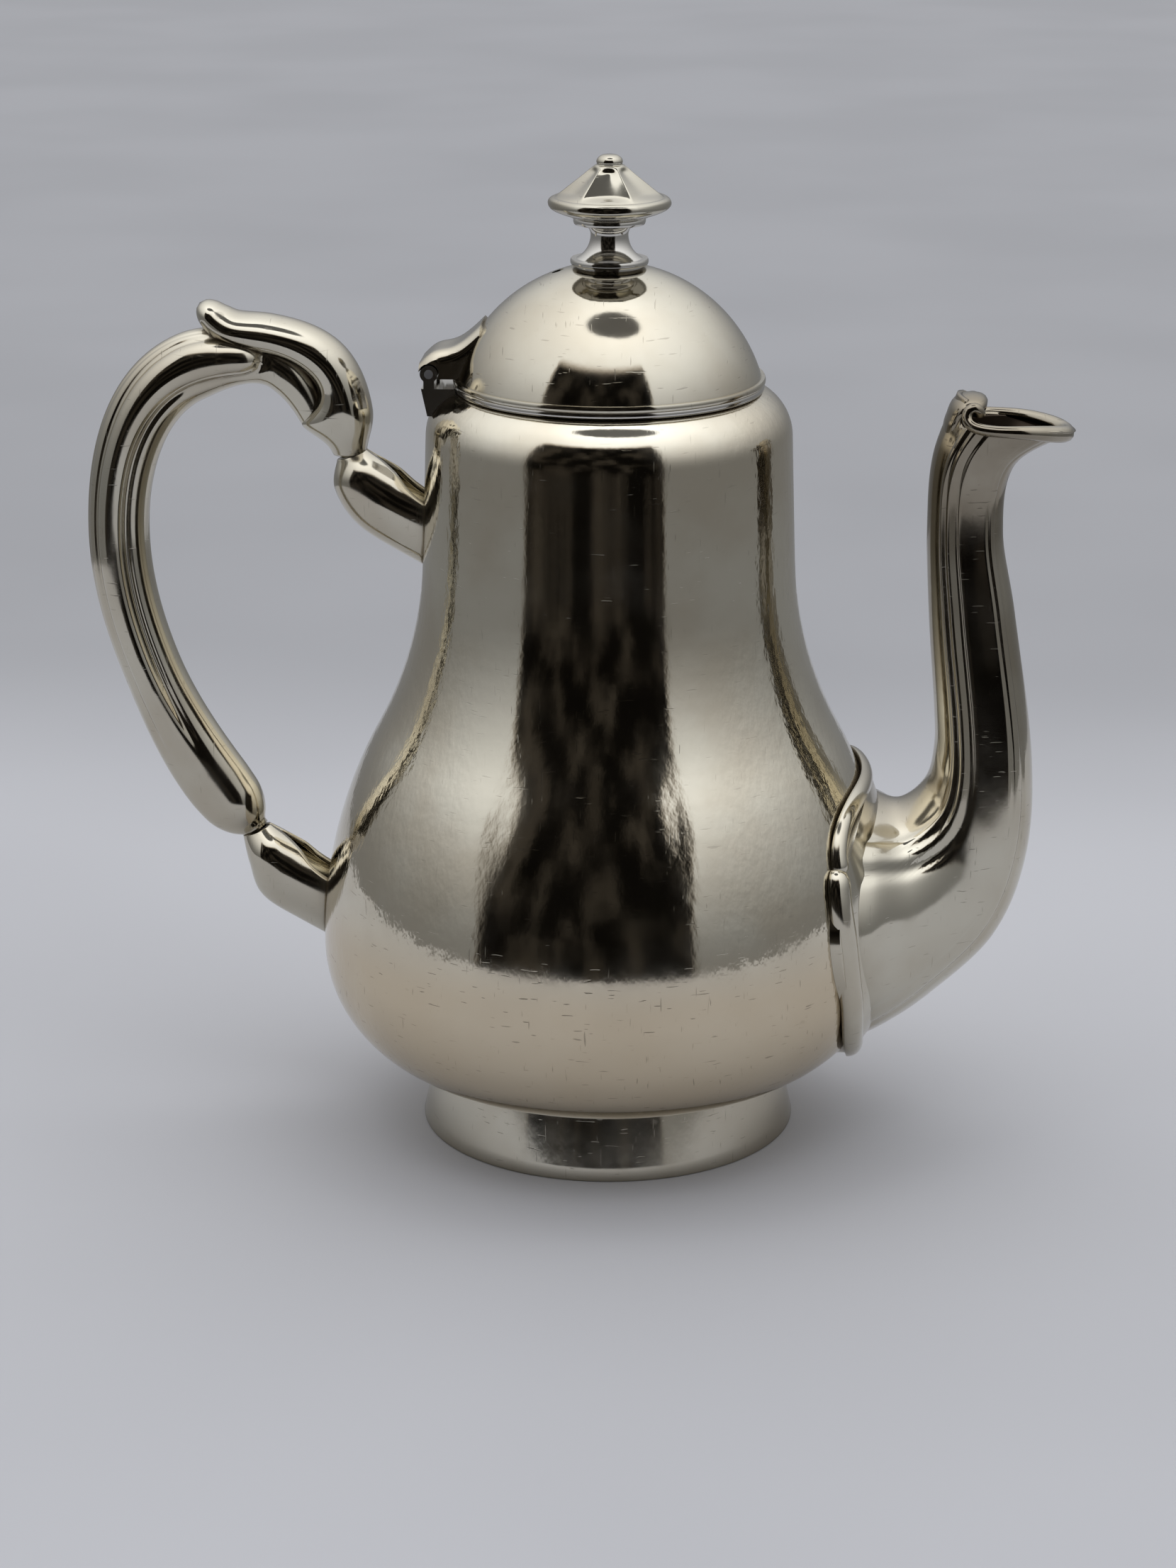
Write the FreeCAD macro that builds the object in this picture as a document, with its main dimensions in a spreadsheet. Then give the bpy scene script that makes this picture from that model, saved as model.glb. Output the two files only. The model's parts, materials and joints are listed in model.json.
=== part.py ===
import FreeCAD, Part
import math
import os
import re

import Sketcher
from FreeCAD import Placement, Rotation, Vector

# A coffee pot of plated metal: a pear-shaped body on a foot ring, a hinged dome lid with a fluted finial,
# a hollow C handle carried by two open sockets, and a swan-neck spout on a collar.
# The axis of the body is Z, the table is the plane z = 0, the handle points to -X and the spout to +X.
# Sizes are in millimetres. A reach is a distance from the body's axis, a height is above the table.
SIZES = {
    # Body
    "belly_radius": 60.0,
    "belly_height": 40.0,
    "belly_curve": 95.0,
    "bottom_height": 14.0,
    "neck_radius": 38.2,
    "neck_height": 122.0,
    "shoulder_radius": 37.3,
    "shoulder_height": 148.5,
    "collar_radius": 30.2,
    "shoulder_rise": 9.3,
    "collar_height": 1.2,
    "body_wall": 1.0,
    "ring_width": 1.1,
    "port_height": 50.0,
    "port_radius": 8.0,
    # Foot
    "foot_radius": 39.5,
    "foot_waist": 36.6,
    "foot_edge": 0.5,
    "foot_wall": 1.4,
    "foot_flange": 3.0,
    # Lid
    "rim_overhang": 0.2,
    "rim_height": 1.3,
    "dome_inset": 0.5,
    "dome_rise": 22.75,
    "lid_wall": 0.9,
    "bezel_clearance": 0.6,
    "bezel_wall": 0.8,
    "bezel_depth": 4.5,
    "vent_radius": 1.2,
    "vent_reach": 10.4,
    # Finial
    "stud_radius": 1.5,
    "stud_tail": 4.6,
    "stud_depth": 6.0,
    "washer_radius": 4.0,
    "washer_height": 0.8,
    "nut_radius": 3.2,
    "nut_height": 2.4,
    "base_radius": 6.7,
    "base_sink": 0.15,
    "disc_radius": 7.7,
    "disc_height": 1.2,
    "spool_foot": 6.6,
    "spool_waist": 3.8,
    "spool_end": 5.9,
    "flare_height": 4.7,
    "flare_top": 2.2,
    "bead_radius": 7.1,
    "bead_height": 1.3,
    "cap_radius": 12.4,
    "cap_skirt": 2.5,
    "cap_brim": 1.5,
    "cap_height": 12.5,
    "cap_sweep": 15.0,
    "knob_radius": 2.75,
    "knob_foot": 3.1,
    "flute_count": 6,
    "flute_depth": 1.7,
    "flute_start": 0.25,
    # Hinge
    "hinge_standoff": 4.6,
    "hinge_rise": 2.4,
    "hinge_width": 15.0,
    "hinge_gap": 0.3,
    "knuckle_radius": 1.8,
    "knuckle_length": 4.2,
    "pin_radius": 0.9,
    "pin_clearance": 0.05,
    "pin_proud": 0.3,
    "hood_tip_back": 2.1,
    "hood_tip_rise": 1.9,
    "hood_brow_front": 0.7,
    "hood_brow_rise": 4.3,
    "hood_crest_front": 10.2,
    "hood_crest_rise": 9.8,
    "hood_sweep": 14.0,
    "bracket_drop": 3.0,
    "bracket_back": 1.6,
    "bracket_toe_back": 0.4,
    "bracket_depth": 8.6,
    "web_half": 1.1,
    # Handle grip, from its root under the thumb leaf to its tail at the lower socket
    "grip_root_reach": 59.9,
    "grip_root_height": 147.1,
    "grip_root_depth": 4.8,
    "grip_arch_reach": 67.2,
    "grip_arch_height": 160.4,
    "grip_arch_depth": 8.4,
    "grip_crown_reach": 85.5,
    "grip_crown_height": 160.8,
    "grip_crown_depth": 14.2,
    "grip_back_reach": 101.6,
    "grip_back_height": 127.2,
    "grip_back_depth": 12.6,
    "grip_side_reach": 96.2,
    "grip_side_height": 98.3,
    "grip_side_depth": 12.4,
    "grip_bulb_reach": 83.0,
    "grip_bulb_height": 72.3,
    "grip_bulb_depth": 14.6,
    "grip_tail_reach": 74.6,
    "grip_tail_height": 61.6,
    "grip_tail_depth": 6.0,
    "grip_width": 11.8,
    "grip_wall": 1.0,
    "reed_depth": 0.55,
    # Thumb leaf, from the neck on the upper socket to the tip
    "leaf_neck_reach": 52.8,
    "leaf_neck_height": 143.1,
    "leaf_neck_depth": 6.2,
    "leaf_swell_reach": 53.2,
    "leaf_swell_height": 151.7,
    "leaf_swell_depth": 9.8,
    "leaf_bend_reach": 57.0,
    "leaf_bend_height": 161.4,
    "leaf_bend_depth": 8.8,
    "leaf_back_reach": 70.2,
    "leaf_back_height": 167.7,
    "leaf_back_depth": 7.4,
    "leaf_tip_reach": 83.3,
    "leaf_tip_height": 173.1,
    "leaf_tip_depth": 4.4,
    "leaf_width": 13.0,
    # Handle sockets, measured from the centre of the neck: back is away from the body
    "socket_neck_radius": 3.1,
    "socket_width": 15.0,
    "socket_wall": 1.3,
    "upper_heel_back": 3.6,
    "lower_heel_back": 1.8,
    "socket_heel_drop": 7.0,
    "socket_sole_front": 0.9,
    "socket_sole_drop": 14.4,
    "socket_toe_front": 13.4,
    "socket_toe_drop": 21.4,
    "socket_brow_front": 5.0,
    "socket_brow_drop": 0.3,
    "socket_cheek_front": 9.0,
    "socket_cheek_drop": 3.4,
    "socket_seat_drop": 8.4,
    "socket_sink": 14.0,
    # Spout: at each place its inner edge, on the side of the body, its outer edge and its width
    "spout_root_in_reach": 38.0,
    "spout_root_in_height": 73.6,
    "spout_root_out_reach": 38.0,
    "spout_root_out_height": 19.4,
    "spout_root_width": 61.0,
    "spout_base_in_reach": 49.5,
    "spout_base_in_height": 73.8,
    "spout_base_out_reach": 50.0,
    "spout_base_out_height": 19.2,
    "spout_base_width": 60.0,
    "spout_flare_in_reach": 55.3,
    "spout_flare_in_height": 71.6,
    "spout_flare_out_reach": 57.3,
    "spout_flare_out_height": 22.0,
    "spout_flare_width": 54.0,
    "spout_throat_in_reach": 60.8,
    "spout_throat_in_height": 70.8,
    "spout_throat_out_reach": 68.2,
    "spout_throat_out_height": 29.0,
    "spout_throat_width": 39.5,
    "spout_bend_in_reach": 66.1,
    "spout_bend_in_height": 75.9,
    "spout_bend_out_reach": 81.5,
    "spout_bend_out_height": 42.3,
    "spout_bend_width": 29.0,
    "spout_rise_in_reach": 67.7,
    "spout_rise_in_height": 83.5,
    "spout_rise_out_reach": 87.8,
    "spout_rise_out_height": 60.1,
    "spout_rise_width": 25.0,
    "spout_run_in_reach": 67.4,
    "spout_run_in_height": 92.4,
    "spout_run_out_reach": 88.2,
    "spout_run_out_height": 81.9,
    "spout_run_width": 21.6,
    "spout_stem_in_reach": 65.8,
    "spout_stem_in_height": 111.3,
    "spout_stem_out_reach": 83.7,
    "spout_stem_out_height": 112.1,
    "spout_stem_width": 16.8,
    "spout_neck_in_reach": 64.9,
    "spout_neck_in_height": 130.1,
    "spout_neck_out_reach": 80.7,
    "spout_neck_out_height": 129.4,
    "spout_neck_width": 14.8,
    "spout_lip_in_reach": 65.7,
    "spout_lip_in_height": 145.0,
    "spout_lip_out_reach": 82.7,
    "spout_lip_out_height": 143.3,
    "spout_lip_width": 16.4,
    "spout_mouth_in_reach": 70.2,
    "spout_mouth_in_height": 157.8,
    "spout_mouth_out_reach": 94.3,
    "spout_mouth_out_height": 150.3,
    "spout_mouth_width": 19.0,
    "spout_wall": 1.1,
    "base_pear": 0.15,
    "solder_gap": 0.05,
    "flange_width": 78.0,
    "flange_bottom": 17.0,
    "flange_top": 76.6,
    "flange_height": 1.6,
}

# Functions that a formula may use beside the names of sizes
FUNCTIONS = {"sqrt", "cos", "sin", "deg"}
# Points on half of a section, and stations along a lofted piece
HALF_POINTS = 17
GRIP_STATIONS = 15
LEAF_STATIONS = 9
# Named places along each lofted piece
GRIP_NAMES = ("root", "arch", "crown", "back", "side", "bulb", "tail")
LEAF_NAMES = ("neck", "swell", "bend", "back", "tip")
# The spout is broader above the middle of its base than below it
SPOUT_BASE = ("root", "base")
SPOUT_NAMES = ("root", "base", "flare", "throat", "bend", "rise", "run", "stem", "neck", "lip", "mouth")

doc = FreeCAD.newDocument("CoffeePot")
sheet = doc.addObject("Spreadsheet::Sheet", "Sizes")
for row, (alias, number) in enumerate(SIZES.items(), 1):
    sheet.set(f"A{row}", alias)
    sheet.set(f"B{row}", str(number))
    sheet.setAlias(f"B{row}", alias)
doc.recompute()


def bound(formula):
    """The formula with every size's name pointed at its cell."""
    return re.sub(
        r"[a-z]\w*",
        lambda word: word.group() if word.group() in FUNCTIONS else "Sizes." + word.group(),
        formula,
    )


def value(formula):
    """The number that a formula of sizes gives."""
    return float(sheet.evalExpression(formula))


def new_sketch(body, role):
    """A sketch on one of the body's own origin planes."""
    sketch = body.newObject("Sketcher::SketchObject", body.Name + "_outline")
    plane = next(f for f in body.Origin.OriginFeatures if f.Role == role)
    sketch.AttachmentSupport = [(plane, "")]
    sketch.MapMode = "FlatFace"
    return sketch


def fix(sketch, kind, axis_line, geometry, point, formula):
    """Hold one coordinate of a point at a formula, or on the axis where it is zero."""
    if formula == "0":
        sketch.addConstraint(Sketcher.Constraint("PointOnObject", geometry, point, axis_line))
        return
    number = sketch.addConstraint(Sketcher.Constraint(kind, -1, 1, geometry, point, value(formula)))
    sketch.setExpression(f"Constraints[{number}]", bound(formula))


def outline(sketch, corners):
    """A closed outline. A corner is (x, y), or (x, y, radius, side) where an arc leads to the next one.

    Side is +1 where the arc's centre lies to the left of the way round and -1 where it lies to the right.
    """
    points = [Vector(value(corner[0]), value(corner[1]), 0) for corner in corners]
    ends = []
    for here, corner in enumerate(corners):
        start = points[here]
        end = points[(here + 1) % len(points)]
        if len(corner) == 2:
            ends.append((sketch.addGeometry(Part.LineSegment(start, end)), 1, 2))
            continue
        radius = value(corner[2])
        side = corner[3]
        chord = end - start
        left = Vector(-chord.y, chord.x, 0).normalize()
        rise = math.sqrt(max(radius ** 2 - chord.Length ** 2 / 4, 0))
        centre = start + chord / 2 + left * side * rise
        first, last = (start, end) if side > 0 else (end, start)
        angles = [math.atan2(p.y - centre.y, p.x - centre.x) for p in (first, last)]
        arc = Part.ArcOfCircle(Part.Circle(centre, Vector(0, 0, 1), radius), *angles)
        near, far = (1, 2) if side > 0 else (2, 1)
        ends.append((sketch.addGeometry(arc), near, far))
    for here, (geometry, near, far) in enumerate(ends):
        after, after_near, _ = ends[(here + 1) % len(ends)]
        sketch.addConstraint(Sketcher.Constraint("Coincident", geometry, far, after, after_near))
    for corner, (geometry, near, _) in zip(corners, ends):
        fix(sketch, "DistanceX", -2, geometry, near, corner[0])
        fix(sketch, "DistanceY", -1, geometry, near, corner[1])
        if len(corner) > 2:
            radius = sketch.addConstraint(Sketcher.Constraint("Radius", geometry, value(corner[2])))
            sketch.setExpression(f"Constraints[{radius}]", bound(corner[2]))


def circle(sketch, x, y, radius):
    """A circle whose centre and radius are held at formulas."""
    ring = Part.Circle(Vector(value(x), value(y), 0), Vector(0, 0, 1), value(radius))
    geometry = sketch.addGeometry(ring)
    fix(sketch, "DistanceX", -2, geometry, 3, x)
    fix(sketch, "DistanceY", -1, geometry, 3, y)
    number = sketch.addConstraint(Sketcher.Constraint("Radius", geometry, value(radius)))
    sketch.setExpression(f"Constraints[{number}]", bound(radius))


def new_body(label):
    """An empty body whose label names its sub-part."""
    body = doc.addObject("PartDesign::Body", label)
    body.Label = label
    return body


def revolved(label, corners):
    """A turned or spun piece: an outline in the XZ plane, revolved about the pot's axis."""
    body = new_body(label)
    sketch = new_sketch(body, "XZ_Plane")
    outline(sketch, corners)
    turn = body.newObject("PartDesign::Revolution", label + "_turn")
    turn.Profile = sketch
    turn.ReferenceAxis = (sketch, ["V_Axis"])
    turn.Angle = 360
    doc.recompute()
    return body


def turned_out(body, corners):
    """Turns a hollow out of a spun piece, with an outline in the XZ plane."""
    sketch = new_sketch(body, "XZ_Plane")
    outline(sketch, corners)
    groove = body.newObject("PartDesign::Groove", body.Label + "_hollow")
    groove.Profile = sketch
    groove.ReferenceAxis = (sketch, ["V_Axis"])
    groove.Angle = 360
    doc.recompute()


def pad(body, sketch, length):
    """A pad with equal halves on both sides of the sketch."""
    feature = body.newObject("PartDesign::Pad", body.Name + "_pad")
    feature.Profile = sketch
    feature.SideType = "Symmetric"
    feature.setExpression("Length", bound(length))
    doc.recompute()
    return feature


def free_form(label, shape):
    """A piece whose faces are lofted, as one object of the document."""
    piece = doc.addObject("Part::Feature", label)
    piece.Label = label
    piece.Shape = shape
    piece.Placement = Placement()
    return piece


def single(shape):
    """The one solid that a boolean leaves, without its smallest scraps."""
    return max(shape.Solids, key=lambda solid: solid.Volume)


# Formulas that more than one piece needs
BOTTOM_RADIUS = "(belly_radius - belly_height + bottom_height)"
COLLAR_FOOT = "(shoulder_height + shoulder_rise)"
MOUTH_HEIGHT = f"({COLLAR_FOOT} + collar_height)"
RING_RADIUS = "(collar_radius + ring_width)"
# The ring's side is an arc as wide as the ring is high
RING_SIDE = f"({RING_RADIUS} + collar_height * (1 - sqrt(3) / 2))"
RIM_TOP = f"({MOUTH_HEIGHT} + rim_height)"
DOME_FOOT = f"({RING_RADIUS} - dome_inset)"
DOME_RADIUS = f"((dome_rise^2 + {DOME_FOOT}^2) / (2 * dome_rise))"
DOME_TOP = f"({RIM_TOP} + dome_rise)"
DOME_CENTRE = f"({DOME_TOP} - {DOME_RADIUS})"
BORE_RADIUS = "(collar_radius - body_wall)"
BEZEL_RADIUS = f"({BORE_RADIUS} - bezel_clearance)"
HINGE_X = f"(-{RING_RADIUS} - hinge_standoff)"
HINGE_Z = f"({MOUTH_HEIGHT} + hinge_rise)"

# The neck's straight side leans in a little: its length, and the direction square to it
SIDE_LENGTH = "sqrt((neck_radius - shoulder_radius)^2 + (shoulder_height - neck_height)^2)"
LEAN_X = f"((shoulder_height - neck_height) / {SIDE_LENGTH})"
LEAN_Z = f"((neck_radius - shoulder_radius) / {SIDE_LENGTH})"
# The waist is an arc that leaves the neck's side and meets the belly's arc, tangent to both
SPAN_X = "(neck_radius - belly_radius + belly_curve)"
SPAN_Z = "(neck_height - belly_height)"
WAIST_CURVE = (
    f"(({SPAN_X}^2 + {SPAN_Z}^2 - belly_curve^2)"
    f" / (2 * (belly_curve - {SPAN_X} * {LEAN_X} - {SPAN_Z} * {LEAN_Z})))"
)
BELLY_SHARE = f"(belly_curve / (belly_curve + {WAIST_CURVE}))"
TURN_X = f"(belly_radius - belly_curve + {BELLY_SHARE} * ({SPAN_X} + {WAIST_CURVE} * {LEAN_X}))"
TURN_Z = f"(belly_height + {BELLY_SHARE} * ({SPAN_Z} + {WAIST_CURVE} * {LEAN_Z}))"
TURN_INSIDE = (
    "(belly_radius - belly_curve"
    f" + sqrt((belly_curve - body_wall)^2 - ({TURN_Z} - belly_height)^2))"
)
# The shoulder is an arc that leaves the neck's side and ends at the collar
SHOULDER_IN = "(shoulder_radius - collar_radius)"
SHOULDER_CURVE = (
    f"(({SHOULDER_IN}^2 + shoulder_rise^2)"
    f" / (2 * ({SHOULDER_IN} * {LEAN_X} - shoulder_rise * {LEAN_Z})))"
)


def hollowed(body, levels):
    """Hollows a spun solid to the body's wall, open at its flat faces at the named levels."""
    outside = body.Tip
    heights = [value(level) for level in levels]
    ends = []
    for number, face in enumerate(outside.Shape.Faces, 1):
        box = face.BoundBox
        if any(abs(box.ZMin - height) + abs(box.ZMax - height) < 1e-6 for height in heights):
            ends.append(f"Face{number}")
    hollow = body.newObject("PartDesign::Thickness", body.Label + "_hollow")
    hollow.Base = (outside, ends)
    hollow.Reversed = True
    hollow.Join = "Intersection"
    hollow.setExpression("Value", bound("body_wall"))
    doc.recompute()
    return outside.Shape


def body_bowl():
    """The lower half of the spun body, up to the turn of its waist.

    Its bottom is cut out for a flat plate, and a round port in its wall leads into the spout.
    """
    body = revolved("body_bowl", [
        ("0", "bottom_height"),
        (BOTTOM_RADIUS, "bottom_height", "belly_height - bottom_height", 1),
        ("belly_radius", "belly_height", "belly_curve", 1),
        (TURN_X, TURN_Z),
        ("0", TURN_Z),
    ])
    outside = body.Tip.Shape
    turned_out(body, [
        ("0", "bottom_height"),
        (BOTTOM_RADIUS, "bottom_height"),
        (BOTTOM_RADIUS, "bottom_height + body_wall", "belly_height - bottom_height - body_wall", 1),
        ("belly_radius - body_wall", "belly_height", "belly_curve - body_wall", 1),
        (TURN_INSIDE, TURN_Z),
        ("0", TURN_Z),
    ])
    bored(body, "spout_port", "YZ_Plane", "port_height", "port_radius")
    return body, outside


def bored(body, name, plane, height, radius):
    """Bores a round hole through a body, ahead of one of its planes."""
    sketch = new_sketch(body, plane)
    circle(sketch, "0", height, radius)
    hole = body.newObject("PartDesign::Pocket", name)
    hole.Profile = sketch
    hole.Type = "ThroughAll"
    hole.Reversed = True
    doc.recompute()


def body_bottom():
    """The flat plate that closes the bowl."""
    return revolved("body_bottom", [
        ("0", "bottom_height"),
        (BOTTOM_RADIUS, "bottom_height"),
        (BOTTOM_RADIUS, "bottom_height + body_wall"),
        ("0", "bottom_height + body_wall"),
    ])


def body_neck():
    """The upper half of the spun body: its waist, neck, shoulder and collar."""
    body = revolved("body_neck", [
        ("0", TURN_Z),
        (TURN_X, TURN_Z, WAIST_CURVE, -1),
        ("neck_radius", "neck_height"),
        ("shoulder_radius", "shoulder_height", SHOULDER_CURVE, 1),
        ("collar_radius", COLLAR_FOOT),
        ("collar_radius", MOUTH_HEIGHT),
        ("0", MOUTH_HEIGHT),
    ])
    return body, hollowed(body, [TURN_Z, MOUTH_HEIGHT])


def mouth_ring():
    """The wire that stiffens the mouth, around the body's collar."""
    return revolved("mouth_ring", [
        ("collar_radius", COLLAR_FOOT),
        (RING_RADIUS, COLLAR_FOOT, "collar_height", 1),
        (RING_RADIUS, MOUTH_HEIGHT),
        ("collar_radius", MOUTH_HEIGHT),
    ])


def foot_ring():
    """The foot: a low cone that widens to its edge, with a flange under the body's flat bottom."""
    inside = f"({BOTTOM_RADIUS} - foot_flange)"
    return revolved("foot_ring", [
        ("foot_radius - 2 * foot_wall", "0"),
        ("foot_radius", "0"),
        ("foot_radius", "foot_edge"),
        ("foot_waist", "bottom_height"),
        (inside, "bottom_height"),
        (inside, "bottom_height - foot_wall"),
        ("foot_waist - foot_wall", "bottom_height - foot_wall"),
    ])


def lid_dome():
    """The lid's dome: a spherical cap of sheet, with the stud's hole at the top and a steam vent by it."""
    inside = f"({DOME_RADIUS} - lid_wall)"
    drop = f"({RIM_TOP} - {DOME_CENTRE})"
    body = revolved("lid_dome", [
        (f"sqrt({inside}^2 - {drop}^2)", RIM_TOP),
        (DOME_FOOT, RIM_TOP, DOME_RADIUS, 1),
        ("stud_radius", f"{DOME_CENTRE} + sqrt({DOME_RADIUS}^2 - stud_radius^2)"),
        ("stud_radius", f"{DOME_CENTRE} + sqrt({inside}^2 - stud_radius^2)", inside, -1),
    ])
    sketch = new_sketch(body, "XY_Plane")
    circle(sketch, "-vent_reach", "0", "vent_radius")
    vent = body.newObject("PartDesign::Pocket", "steam_vent")
    vent.Profile = sketch
    vent.Type = "ThroughAll"
    vent.Reversed = True
    doc.recompute()
    return body


def lid_rim():
    """The flat wire under the dome that rests on the mouth."""
    outer = f"({RING_RADIUS} + rim_overhang)"
    return revolved("lid_rim", [
        (BEZEL_RADIUS, MOUTH_HEIGHT),
        (outer, MOUTH_HEIGHT, "rim_height", 1),
        (outer, RIM_TOP),
        (BEZEL_RADIUS, RIM_TOP),
    ])


def lid_bezel():
    """The thin tube inside the rim that keeps the lid centred in the mouth."""
    return revolved("lid_bezel", [
        (f"{BEZEL_RADIUS} - bezel_wall", f"{MOUTH_HEIGHT} - bezel_depth"),
        (BEZEL_RADIUS, f"{MOUTH_HEIGHT} - bezel_depth"),
        (BEZEL_RADIUS, RIM_TOP),
        (f"{BEZEL_RADIUS} - bezel_wall", RIM_TOP),
    ])


# Levels of the finial above the dome
DISC_FOOT = f"({DOME_TOP} - base_sink)"
DISC_TOP = f"({DISC_FOOT} + disc_height)"
WAIST_LEVEL = f"({DISC_TOP} + flare_height)"
SPOOL_TOP = f"({WAIST_LEVEL} + flare_top)"
CAP_FOOT = f"({SPOOL_TOP} + bead_height)"


def finial_spool():
    """The turned spool of the finial: it sits on the dome, and ends in the bead under the cap."""
    low = "(spool_foot - spool_waist)"
    high = "(spool_end - spool_waist)"
    return revolved("finial_spool", [
        ("stud_radius", f"{DOME_CENTRE} + sqrt({DOME_RADIUS}^2 - stud_radius^2)", DOME_RADIUS, -1),
        ("base_radius", f"{DOME_CENTRE} + sqrt({DOME_RADIUS}^2 - base_radius^2)"),
        ("base_radius", DISC_FOOT),
        ("disc_radius", DISC_FOOT, "disc_height", 1),
        ("disc_radius", DISC_TOP),
        ("spool_foot", DISC_TOP, f"(flare_height^2 + {low}^2) / (2 * {low})", -1),
        ("spool_waist", WAIST_LEVEL, f"(flare_top^2 + {high}^2) / (2 * {high})", -1),
        ("spool_end", SPOOL_TOP),
        ("bead_radius", SPOOL_TOP, "bead_height", 1),
        ("bead_radius", CAP_FOOT),
        ("stud_radius", CAP_FOOT),
    ])


def finial_cap():
    """The umbrella cap: a turned blank with a round knob, cut by round flutes that leave sharp ribs."""
    cap_top = f"({CAP_FOOT} + cap_height)"
    crown = f"({cap_top} - knob_radius)"
    brim = f"({CAP_FOOT} + cap_skirt + cap_brim)"
    body = revolved("finial_cap", [
        ("stud_radius", CAP_FOOT),
        ("bead_radius", CAP_FOOT, "cap_radius", -1),
        ("cap_radius", f"{CAP_FOOT} + cap_skirt"),
        ("cap_radius", brim, "cap_sweep", -1),
        ("knob_foot", crown),
        ("knob_radius", crown, "knob_radius", 1),
        ("0", cap_top),
        ("0", f"{CAP_FOOT} + stud_depth"),
        ("stud_radius", f"{CAP_FOOT} + stud_depth"),
    ])
    high = Vector(value("knob_foot"), 0, value(crown))
    low = Vector(value("cap_radius"), 0, value(brim))
    slope = (low - high).normalize()
    out = Vector(-slope.z, 0, slope.x)
    length = (low - high).Length
    sweep = value("cap_sweep")
    away = sweep + value("flute_start")
    along = (away ** 2 - (sweep - value("flute_depth")) ** 2 + length ** 2) / (2 * length)
    centre = high + slope * along + out * math.sqrt(away ** 2 - along ** 2)
    flute = body.newObject("PartDesign::SubtractiveSphere", "flute")
    flute.setExpression("Radius", bound("cap_sweep"))
    flute.Placement = Placement(centre, Rotation())
    doc.recompute()
    flutes = body.newObject("PartDesign::PolarPattern", "flutes")
    flutes.Originals = [flute]
    flutes.Axis = (next(f for f in body.Origin.OriginFeatures if f.Role == "Z_Axis"), [""])
    flutes.Angle = 360
    flutes.setExpression("Occurrences", bound("flute_count"))
    body.Tip = flutes
    doc.recompute()
    return body


def finial_stud():
    """The stud that draws the finial down on the dome."""
    inside_top = f"({DOME_TOP} - lid_wall)"
    return revolved("finial_stud", [
        ("0", f"{inside_top} - stud_tail"),
        ("stud_radius", f"{inside_top} - stud_tail"),
        ("stud_radius", f"{CAP_FOOT} + stud_depth"),
        ("0", f"{CAP_FOOT} + stud_depth"),
    ])


# The washer's edge touches the inside of the dome
WASHER_TOP = f"({DOME_CENTRE} + sqrt(({DOME_RADIUS} - lid_wall)^2 - washer_radius^2))"


def finial_washer():
    """The flat washer under the dome."""
    return revolved("finial_washer", [
        ("stud_radius", f"{WASHER_TOP} - washer_height"),
        ("washer_radius", f"{WASHER_TOP} - washer_height"),
        ("washer_radius", WASHER_TOP),
        ("stud_radius", WASHER_TOP),
    ])


def finial_nut():
    """The hexagon nut on the stud."""
    body = new_body("finial_nut")
    sketch = new_sketch(body, "XY_Plane")
    foot = f"({WASHER_TOP} - washer_height - nut_height)"
    sketch.setExpression("AttachmentOffset.Base.z", bound(foot))
    half = "nut_radius * sqrt(3) / 2"
    outline(sketch, [
        ("nut_radius", "0"),
        ("nut_radius / 2", half),
        ("-nut_radius / 2", half),
        ("-nut_radius", "0"),
        ("-nut_radius / 2", f"-{half}"),
        ("nut_radius / 2", f"-{half}"),
    ])
    circle(sketch, "0", "0", "stud_radius")
    feature = body.newObject("PartDesign::Pad", "nut_pad")
    feature.Profile = sketch
    feature.setExpression("Length", bound("nut_height"))
    doc.recompute()
    return body


KNUCKLE_SEAT = "(knuckle_radius + hinge_gap)"


def hinge_hood():
    """The lid's half of the hinge: a hood that covers the knuckles and sweeps up the side of the dome."""
    body = new_body("hinge_hood")
    sketch = new_sketch(body, "XZ_Plane")
    tip_radius = "sqrt(hood_tip_back^2 + hood_tip_rise^2)"
    sill = f"({RIM_TOP} - {HINGE_Z})"
    outline(sketch, [
        (f"{HINGE_X} - hood_tip_back * {KNUCKLE_SEAT} / {tip_radius}",
         f"{HINGE_Z} + hood_tip_rise * {KNUCKLE_SEAT} / {tip_radius}", KNUCKLE_SEAT, -1),
        (f"{HINGE_X} + sqrt({KNUCKLE_SEAT}^2 - {sill}^2)", RIM_TOP),
        (f"{HINGE_X} + hood_crest_front", RIM_TOP),
        (f"{HINGE_X} + hood_crest_front", f"{HINGE_Z} + hood_crest_rise", "hood_sweep", -1),
        (f"{HINGE_X} + hood_brow_front", f"{HINGE_Z} + hood_brow_rise"),
        (f"{HINGE_X} - hood_tip_back", f"{HINGE_Z} + hood_tip_rise"),
    ])
    pad(body, sketch, "hinge_width")
    seat = body.newObject("PartDesign::SubtractiveSphere", "dome_seat")
    seat.setExpression("Radius", bound(DOME_RADIUS))
    seat.setExpression("Placement.Base.z", bound(DOME_CENTRE))
    doc.recompute()
    return body


def lid_knuckle():
    """The middle knuckle, which is fixed in the hood and turns on the pin."""
    body = new_body("lid_knuckle")
    sketch = new_sketch(body, "XZ_Plane")
    circle(sketch, HINGE_X, HINGE_Z, KNUCKLE_SEAT)
    circle(sketch, HINGE_X, HINGE_Z, "pin_radius + pin_clearance")
    pad(body, sketch, "hinge_width - 2 * knuckle_length - 2 * hinge_gap")
    return body


def hinge_pin():
    """The pin through all three knuckles."""
    body = new_body("hinge_pin")
    sketch = new_sketch(body, "XZ_Plane")
    circle(sketch, HINGE_X, HINGE_Z, "pin_radius")
    pad(body, sketch, "hinge_width + 2 * pin_proud")
    return body


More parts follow.
